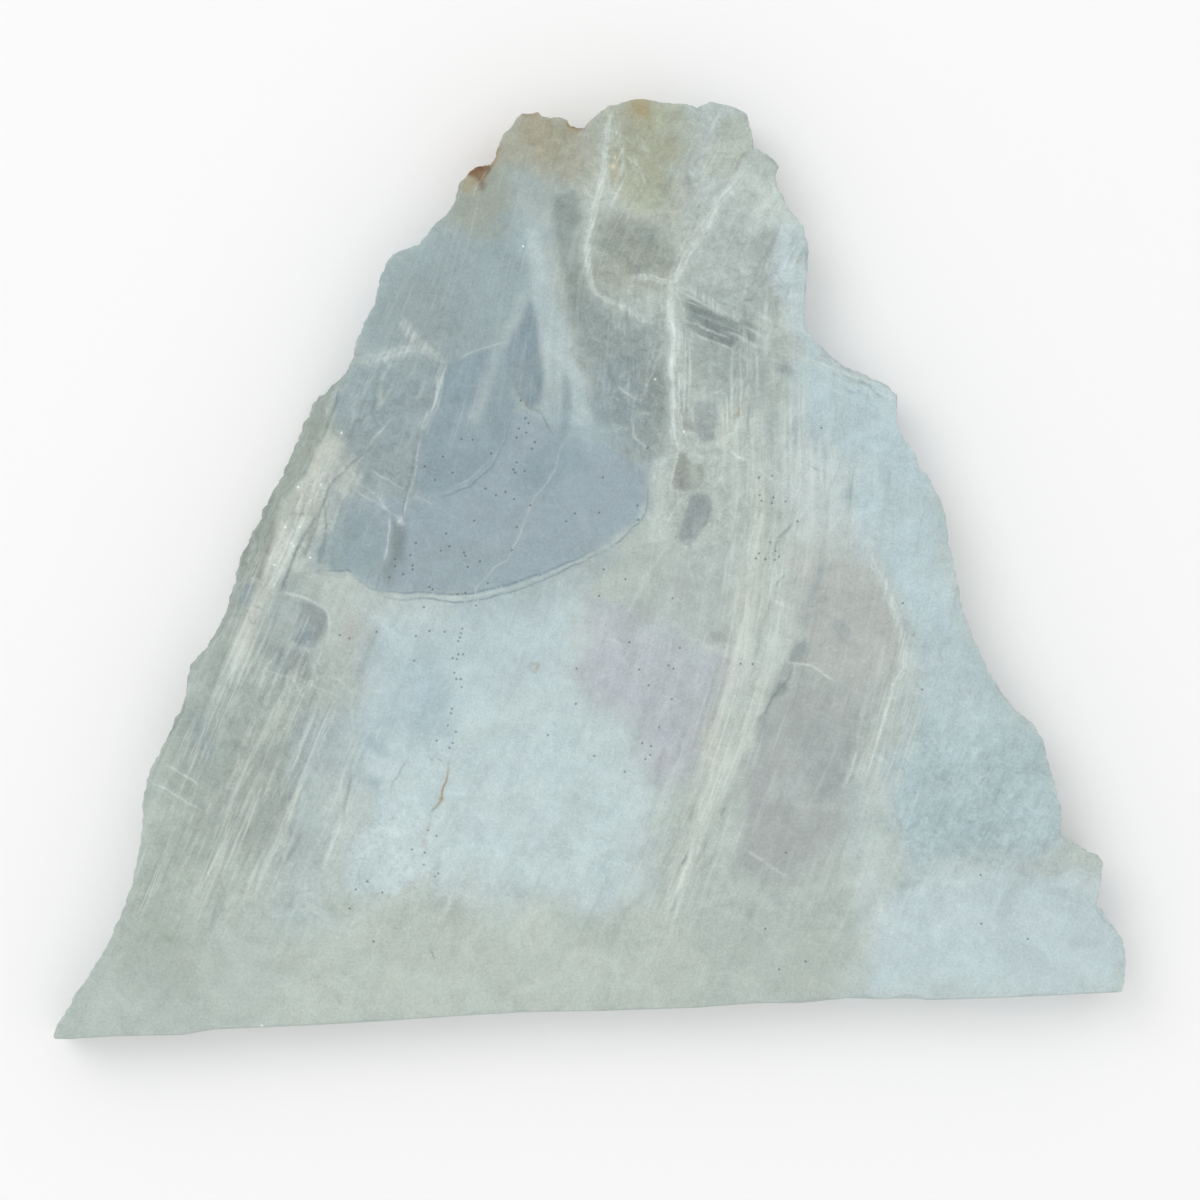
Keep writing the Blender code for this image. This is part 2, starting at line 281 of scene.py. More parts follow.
# Broad regions in the order they are laid down: tone, strength, softness of the border in mm, corners.
regions = (
    ("lowGreen", 0.75, 5, (-60, -50, -50, -52, -44, -40, -38, -26, -42, -14, -52, -18, -58, -36)),
    ("lowPale", 0.9, 6, (-34, -44, -5, -42, 10, -44, 12, -56, -40, -58)),
    ("lowGreen", 0.15, 3, (12, -44, 34, -42, 32, -54, 14, -54)),
    ("stripGrey", 0.9, 3, (-52, -24, -44, -22, -38, -10, -42, 2, -46, -2, -51, -14)),
    ("milk", 1.0, 4, (-27, -6, -15, -4, 0, -2, -1, -12, 7, -20, 9, -28, 6, -40, -10, -42, -20, -38, -30,
     -40, -29, -22)),
    ("iceBlue", 0.9, 2.5, (-27, -10, -17, -9, -17, -21, -24, -24, -28, -18)),
    ("milkBlue", 1.0, 3.5, (38, -40, 64, -38, 68, -48, 66, -54, 33, -54, 35, -46)),
    ("marginBlue", 1.0, 3.5, (27, 30, 38, 24, 44, 10, 47, -6, 52, -16, 44, -14, 38, -4, 33, 4, 26, 16)),
    ("upperHaze", 0.8, 3, (22, 18, 33, 12, 36, 3, 28, 2, 23, 8)),
    ("rightBlue", 1.0, 3.5, (42, -9, 49, -13, 57, -22, 60, -33, 52, -37, 38, -36, 36, -30, 40, -18)),
    ("lilac", 0.9, 2, (1, -3, 8, -5, 19, -10, 16, -22, 9, -28, 7, -20, -1, -14)),
    ("mauve", 0.9, 3, (25, 1, 31, 3, 36, 0, 38.5, -8, 37, -17, 33, -12, 27, -12, 26, -5)),
    ("mauveDeep", 0.95, 3, (24, -14, 36, -12, 36, -20, 33, -27, 31, -34, 25, -38, 19, -38, 19, -27, 21,
     -20)),
    ("haze", 1.0, 3, (-27, 38, -18, 46, -6, 47, -5, 36, -9, 26, -14, 16, -26, 14, -34, 20, -30, 28)),
    ("hazeDeep", 0.85, 3, (-27, 36, -16, 40, -14, 30, -18, 25, -28, 26)),
    ("dusk", 0.9, 3, (-30, 24, -18, 26, -12, 20, -20, 8, -32, 8, -34, 16)),
    ("slate", 0.8, 2, (-33, 8, -24, 9, -20, 10, -22, -2, -30, 0, -34, 2)),
    ("bluish", 0.9, 2.5, (-7, 24, -4, 23, 3, 22, 7, 17, 9, 12, 6, 8, 0, 12, -8, 18)),
    ("slate", 0.8, 3, (-27, 3, -22, -1, -12, -2, 0, 2, 5, 8, 6, 13, 0, 17, -8, 20, -20, 12)),
    ("stripGrey", 1.0, 4, (-50, -16, -34, -12, -30, -20, -36, -36, -46, -36, -52, -26)),
    ("iceBlue", 0.45, 3, (-36, -16, -28, -16, -27, -30, -32, -44, -38, -44, -36, -30)),
    ("lowPale", 0.6, 2.5, (-31, -26, -29, -26, -30, -40, -34, -42, -33, -34)),
    ("milkBlue", 0.7, 3, (33, -26, 38, -34, 48, -38, 60, -38, 60, -44, 36, -46, 33, -40)),
    ("iceBlue", 0.4, 3, (-17, -4, -4, -4, -3, -14, -16, -15)),
    ("mauveDeep", 0.4, 2.5, (11, -15, 17, -15, 16, -22, 11, -22)),
    ("milkBlue", 0.75, 3, (41, -10, 48, -12, 51, -19, 44, -20)),
    ("olive", 1.0, 3, (-3, 34, 2, 34, 10, 30, 10, 14, 2, 14, -1, 22)),
    ("oliveWarm", 0.9, 3, (1, 44, 11, 43, 10, 35, 1, 35)),
    ("olive", 0.6, 3, (12, 36, 21, 33, 23, 20, 14, 22, 11, 30)),
    ("stone", 0.8, 3, (17, 46, 24, 46, 27, 38, 27, 30, 20, 33, 13, 38)),
    ("oliveDark", 0.35, 3, (20, 42, 26, 40, 25, 34, 21, 34)),
    ("crest", 1.0, 3, (1, 58, 8, 60, 12, 55, 12, 46, 7, 45, 2, 47)),
    ("crestLow", 1.0, 2.5, (-18, 44, -14.5, 51, -9, 50.5, -8, 47, -10, 43, -14, 41)),
    ("crestLeft", 1.0, 3.5, (-14, 53, -8, 58, -1, 57, 1, 50, -1, 48, -6, 49, -11, 50)),
    ("crestBlue", 0.9, 2.2, (-9.5, 49.5, -4, 48.5, -3.6, 44.5, -8, 43, -10, 45)),
    ("tan", 0.35, 1.6, (-9.5, 55.5, -4, 55.5, -4.5, 51.5, -8.5, 52)),
    ("milkBlue", 0.8, 2, (22.5, 38, 26, 38, 27, 34, 24, 33)),
    ("stone", 0.9, 3, (12, 58, 20, 58, 20, 48, 14, 46)),
    ("pale", 0.7, 2, (20, 50, 25, 48, 26, 42, 20, 42)),
    ("rind", 1.0, 1.5, (-33, 24, -32, 17, -37, 8, -41, 3, -45, 3, -42, 9, -36, 20)),
    ("stone", 0.5, 3, (10, 4, 20, 4, 18, -10, 10, -10, 7, -4)),
)

# Sharper panes and cells, laid over the regions in the same form.
panes = (
    # the smooth film, the darker film that overlaps it, and the wedge between
    ("film", 0.95, 0.5, (-30.8, 0.2, -30, -0.1, -28.7, -1.3, -26, -2.9, -22, -2.9, -16, -2.9, -12.8, -2.5,
     -9, -1.6, -5.5, -0.3, -2.5, 0.7, 0, 2, 2, 3.2, 3.8, 4.6, 5.2, 5.8, 6.4, 7.8, 6.9, 10, 6.9, 11.6, 5.8,
     13.2, 3.8, 14.4, 1.5, 15.5, -1, 16.2, -5, 17.5, -8, 20, -11, 18.5, -12, 14, -20, 9.6, -28, 8.6, -30.6,
     6, -31, 3)),
    ("filmDeep", 0.85, 0.9, (-10.3, 18, -11.2, 15, -12.8, 12.9, -15, 10.8, -16.8, 9.9, -20, 9, -22, 11, -21,
     16, -18.5, 25, -14, 27.5, -10.6, 28, -9.6, 23, -8.6, 20.5)),
    ("slate", 0.5, 1.2, (-19, 14, -13, 15, -12, 19, -17, 21)),
    ("filmDeep", 0.6, 0.8, (-10, 10.3, -8, 9, -7, 9, -5, 10.3, -3.2, 11.1, -1.7, 12, 0, 12.6, -1, 14.9, -4,
     16, -8, 14)),
    ("slate", 0.6, 2.0, (-22, 4, -14, 6, -8, 4, -6, 0.5, -14, -2, -22, -2)),
    ("slate", 0.5, 1.5, (-2, 5, 3, 9, 5, 8, 2, 4, -1, 2)),
    ("smudge", 0.55, 1.8, (-16, -4.2, -8, -2.6, -1, 0, 3, 3, 3, 0.5, -3, -3.5, -10, -6, -16, -6.5)),
    # the kite and the white tongue
    ("kite", 1.0, 0.5, (-7.2, 34, -6.3, 29, -5.5, 24.5, -6.2, 21, -7.5, 20, -9, 22, -10.3, 25.5, -10.3,
     27.5, -9.5, 30, -8, 32.5)),
    ("tongue", 1.0, 0.7, (-7.5, 42.5, -6.2, 42, -5.3, 38, -4.2, 33, -2.5, 29, -1.6, 25, -3.2, 23.5, -4.8,
     22.5, -5.6, 25, -6.3, 29, -6.9, 33, -7.4, 38)),
    ("tongue", 0.9, 0.6, (-2.2, 25, -0.7, 25, 0, 21, 0.2, 18, -1.6, 18, -2.4, 21)),
    ("smudge", 0.7, 1.2, (-4, 19, 5, 17, 6, 15.6, 0, 16.4, -4, 17.6)),
    ("pale", 0.15, 1.2, (-9, 45.5, -5, 45, -5.5, 38, -8.2, 36)),
    # the olive windows below the crest
    ("oliveDark", 0.9, 0.9, (-4.6, 47, -1.2, 47.5, -0.8, 44, -1.1, 40, -0.4, 36, -1, 31, -2.4, 32, -3.5, 37,
     -4.4, 42)),
    ("oliveDark", 0.5, 1.6, (0.6, 43.8, 4, 44.3, 8.8, 43, 10.6, 39.5, 10, 37, 5, 38, 1, 39.5)),
    ("oliveWarm", 0.3, 0.8, (1, 43.5, 4.5, 44, 6.5, 43.7, 8.5, 42, 10.5, 39, 10, 36.5, 6, 37.3, 3, 38.5, 1,
     40)),
    ("oliveDark", 0.6, 0.7, (5.7, 43.2, 8.2, 42.6, 8.5, 40.8, 6.5, 40.8)),
    ("oliveDark", 0.6, 0.7, (1.1, 41.6, 3, 41.3, 3, 39.6, 1.2, 39.6)),
    ("oliveDark", 0.6, 0.7, (4.5, 38.5, 7.6, 38.4, 7.4, 37, 4.8, 37)),
    ("oliveDark", 0.9, 0.35, (12, 34, 19.5, 30.5, 17.7, 27.5, 12, 30.3)),
    ("shadow", 0.5, 0.3, (12.6, 32.8, 14.5, 32.3, 18.6, 29.4, 17.8, 27.8, 14.5, 29.9, 12.7, 30.8)),
    ("shadow", 0.3, 0.4, (12.4, 33.2, 15.2, 31.9, 15, 30, 12.3, 31)),
    ("shadow", 0.4, 0.4, (18.8, 31.4, 20.4, 31, 21, 28.5, 19.8, 28)),
    ("smoke", 0.7, 0.5, (23.2, 26.2, 25.8, 25.4, 25.6, 24.2, 23.4, 24.6)),
    ("marginBlue", 0.7, 0.4, (29, 27.6, 38.4, 22.4, 38.2, 20.2, 29, 25.6)),
    ("oliveDark", 0.7, 0.7, (7.2, 25, 9.6, 25, 9.4, 15.5, 7.4, 15.5)),
    ("kite", 0.4, 1.2, (0, 26, 6, 26, 6, 18, 1, 18)),
    ("pale", 0.7, 0.6, (8, 14.2, 9.8, 14, 9.4, 9, 9.2, 3.2, 7.2, 3.4, 7.8, 8)),
    # the upper left
    ("wedge", 0.8, 0.7, (-24.8, 6.5, -23.8, 5.5, -22.8, 5, -23, 3, -23.5, 1, -24.2, -0.8, -24.8, -2.2,
     -25.4, -2.3, -25.7, -0.5, -25.2, 2, -25, 4.5)),
    ("filmLeft", 0.65, 1.3, (-32, 6, -30.3, 8.5, -28.5, 8, -26.5, 6.5, -25.3, 4, -25.8, 1, -26.3, -1, -27,
     -2.3, -28.8, -1.2, -30, -0.3, -33, 0.5, -33, 2.5, -32.5, 4.5)),
    ("haze", 0.6, 0.8, (-29, 26.6, -25, 27.6, -21, 28.2, -21, 26.9, -25, 26, -29, 25)),
    ("pale", 0.35, 0.8, (-7.5, 34.6, -9, 34, -11.3, 28.7, -12.5, 26.5, -13.3, 24, -14.8, 19, -13.4, 18.5,
     -11.8, 24, -10.8, 27, -9.4, 30)),
    ("shadow", 0.35, 0.4, (-30.6, 17.4, -29.4, 17.2, -29.5, 15.4, -30.6, 15.4)),
    ("shadow", 0.3, 0.4, (-31.8, 15, -30.8, 14.8, -30.9, 13.7, -31.8, 13.8)),
    # the left margin
    ("crushed", 0.75, 1.1, (-33, 17, -34.8, 14.5, -36.2, 11.5, -38, 8.5, -39.2, 6, -39.8, 3.5, -40.3, 1,
     -41, -1.5, -42.2, -4, -43.5, -6.5, -44.5, -9, -44.6, -12, -42.6, -12, -41.6, -8, -39.6, -3.5, -38.5,
     -1, -37.5, 1.5, -36.5, 4, -35, 6.5, -33.5, 9, -32.5, 12, -31.5, 14.5, -30.5, 17)),
    ("smokeBrown", 0.9, 0.3, (-40, 6.5, -39.3, 6.3, -39.8, 3, -40.3, 1, -41, -1.3, -42.5, -0.8, -43.3, 0.3,
     -42.3, 2.5, -41.3, 4.5, -40.5, 6)),
    ("dusk", 0.8, 0.3, (-43.8, -1.5, -41.5, -1.8, -42.5, -4.5, -43.5, -5, -44, -3)),
    ("shadow", 0.5, 0.25, (-32.9, 5, -33, 3, -33.3, 1, -34, 0.8, -33.8, 2.5)),
    ("smoke", 0.95, 0.4, (-36.2, -3.6, -35, -4.1, -33.5, -4.7, -32.7, -5.3, -32.5, -7, -33.2, -8, -33.6,
     -8.8, -34.4, -9.8, -35.5, -9.9, -36.8, -9.3, -37.2, -8.5, -36.5, -7.5, -36.2, -5.5)),
    ("shadow", 0.5, 0.5, (-37, -8.2, -35.2, -8.4, -35.2, -9.8, -36.8, -9.6)),
    ("shadow", 0.4, 0.5, (-34.8, -7, -33.2, -7, -33.4, -8.4, -34.6, -8.6)),
    ("dusk", 0.7, 0.7, (-38, -10.2, -36, -10.2, -35, -13, -36.6, -13.4)),
    ("mauve", 0.9, 1.0, (-31, -5.5, -27.8, -6, -27.4, -9.5, -30.8, -9.5)),
    ("dusk", 0.5, 1.4, (-39, 0, -36, -1, -34.5, -12, -39, -14, -41, -8)),
    ("cream", 0.6, 1.2, (-32, 14, -29.5, 14, -28.5, 11, -31, 9, -32.5, 11)),
    ("kite", 0.5, 0.5, (-36.6, -7.2, -34.6, -7, -34.2, -8.8, -35, -9.8, -36.4, -9.2)),
    ("smokeBrown", 0.8, 0.45, (-37.6, -10.6, -35.2, -10.3, -34.9, -12.6, -36, -14.1, -37.3, -13.2)),
    ("smoke", 0.5, 0.8, (-34.4, -9.8, -33, -9.6, -32.8, -12, -34, -12.6)),
    ("smokeBrown", 0.6, 0.3, (-34.6, 6.8, -33.9, 6.6, -34.5, 3.6, -35.5, 1.2, -35.6, 2.6, -35, 4.8)),
    # the chip on the crest's left
    ("brown", 1.0, 0.25, (-15.6, 50, -14.7, 51.4, -12.2, 51.2, -12.3, 49.9, -13, 48.9, -13.5, 48, -14.1,
     48.9, -15.2, 49.1)),
    # the smooth pane on the crest's right, and the blue margin below it
    ("stoneWarm", 0.75, 0.3, (17, 56.8, 19.8, 56.9, 20.5, 52.6, 17.6, 48.6, 14.4, 49.4, 13.8, 50.7)),
    ("milkBlue", 0.8, 1.0, (23.5, 43.5, 26, 43.5, 28.2, 41, 28.2, 28.5, 24.8, 29.5, 24, 34, 23, 38)),
    ("tan", 0.8, 0.5, (-16.2, 49, -14, 48.8, -13.6, 48, -14.2, 46.8, -16, 46.8)),
    # the lower left
    ("dusk", 0.75, 0.9, (-50.2, -18, -48.4, -18, -46.8, -22.6, -48, -23.6, -49.4, -21)),
    ("lowGreen", 0.8, 0.6, (-55.5, -43.6, -51, -44, -51, -46.8, -55.4, -47)),
    ("smudge", 0.8, 0.7, (-28.8, -21.5, -27.8, -20.5, -26, -21.3, -25.3, -21.5, -25.4, -23, -27, -22.6)),
    ("smudge", 0.7, 0.6, (-28.9, -22.5, -27.9, -22.5, -28.4, -25.6, -29.4, -25.6)),
    ("smudge", 0.7, 0.6, (-28, -25.4, -26.2, -26, -26.6, -27.4, -27.8, -26.8)),
    ("iceBlue", 0.7, 1.6, (-25, -13, -18, -12.6, -17.6, -19, -24, -19.6)),
    ("flake", 0.85, 0.6, (-27.5, -33, -24.5, -32, -21, -33, -20.5, -36, -22.5, -38.5, -24, -40.5, -28,
     -39.5, -29.5, -37, -29, -34)),
    ("milk", 0.8, 0.5, (-30, -40, -28.5, -40.5, -26.5, -40.7, -24.5, -40.5, -23, -39.2, -21.5, -38.8, -20,
     -37, -20, -34, -28, -33, -30, -36)),
    ("lowGreen", 0.8, 0.7, (-33, -41, -30, -41.2, -29.6, -42.6, -32.6, -42.8)),
    ("veinPale", 0.6, 0.5, (25.6, -8.6, 24.8, -11.1, 22.8, -15.4, 21.2, -18.8, 20.4, -20.1, 20, -22.1, 18.2,
     -25, 16.6, -28.5, 14.8, -32, 12.6, -35.5, 11.5, -38, 12.4, -33.5, 13.5, -29, 15, -24.5, 16.6, -20,
     17.8, -15, 18.6, -10, 19, -8.6)),
    # the centre right cells
    ("smokeBrown", 0.7, 0.35, (11.3, 21, 12.5, 20, 13, 17.5, 11.8, 17.3, 11.5, 19)),
    ("smoke", 0.7, 0.4, (13, 21, 16, 21, 15.8, 18.5, 15.7, 16, 14.3, 15.7, 13.2, 16.8, 13, 18.5)),
    ("smokeBrown", 0.75, 0.3, (10.9, 14.8, 12, 14.3, 13, 13, 14, 13.3, 14.5, 12, 14.3, 10.8, 13.5, 10.2, 12,
     9.9, 10.4, 10, 10.5, 12, 11, 13.8)),
    ("shadow", 0.35, 0.5, (11.4, 12, 12.7, 11.8, 12.6, 10.6, 11.3, 10.7)),
    ("smoke", 0.85, 0.3, (12.6, 9.5, 15, 9.5, 15.3, 7.5, 15.2, 6.5, 14.3, 5.2, 13.5, 4.2, 12.5, 3, 11.3,
     3.2, 10.8, 4, 11.5, 5.2, 11.8, 6.5, 12.2, 8)),
    ("shadow", 0.4, 0.5, (12, 6.8, 13.1, 6.6, 12.6, 4.3, 11.5, 4.3)),
    ("cream", 0.6, 0.5, (16, 21, 17.5, 21, 17.4, 15, 16.3, 15.2)),
    ("pale", 0.5, 0.3, (17.5, 16.8, 18.3, 17.5, 19.5, 18.5, 19.8, 15, 19.6, 14, 18.5, 14.5, 17.6, 15.2)),
    ("mauveDeep", 0.5, 0.4, (5.5, -4.5, 7.3, -4.2, 8.5, -6, 6, -7.5, 3.5, -8.5, 4, -7, 5, -5.5)),
    ("mauveDeep", 0.5, 0.4, (10.2, -1, 12.8, -1, 12.8, -4.2, 10.2, -4.2)),
    ("smokeBrown", 0.55, 0.4, (15, -8, 16.5, -7.7, 17.8, -9.2, 16.5, -9.4, 15.3, -9.2)),
    ("lilac", 0.7, 0.5, (0.3, -6.5, 0, -9, -0.5, -10.5, -0.9, -12, -1.4, -13.2, -1, -14.3, 0.5, -14.6, 2,
     -15.6, 3.8, -16.8, 5, -17.8, 6.5, -20, 7, -22, 8, -24, 10.5, -24, 12, -16, 9, -9)),
    ("mauveDeep", 0.55, 0.5, (25.8, -8.5, 25.2, -10, 24.3, -12.5, 23.1, -15.2, 22.1, -17.5, 20.6, -19.6,
     20.3, -20.5, 22, -24, 27, -22, 28, -14)),
    ("smoke", 0.7, 0.3, (26.8, -8, 27, -8.6, 26, -9.2, 25.4, -9.8, 25, -11.5, 26.5, -11.5, 27, -10)),
    ("olive", 0.5, 0.3, (24.3, -12, 25.3, -12, 25.2, -13.6, 24, -13.5)),
    ("oliveDark", 0.8, 0.3, (23.5, -14, 24.7, -14.2, 24.9, -15, 24, -15.7, 22.8, -16.4, 22.5, -16, 23,
     -15)),
    ("mauveDeep", 0.8, 0.9, (20, -27, 22, -24, 25, -22.5, 28, -22, 33, -21.5, 32.5, -24, 31.5, -26.5, 32,
     -29, 31.5, -33, 28, -35, 25, -37, 20, -38, 19.3, -34, 19.5, -30)),
    ("olive", 0.35, 1.0, (27.5, -22, 31, -22, 31, -29, 28, -29)),
    ("stone", 0.6, 0.8, (22.5, -26, 27, -26, 27, -29, 22.5, -29)),
    ("pale", 0.8, 0.35, (33.2, -24, 34, -24.2, 34.7, -24.7, 34.3, -25.5, 34, -26.8, 33, -26, 32.7, -25)),
    ("lowPale", 0.6, 0.9, (34.8, -26, 38, -30, 40, -39, 37, -41, 34, -36)),
)

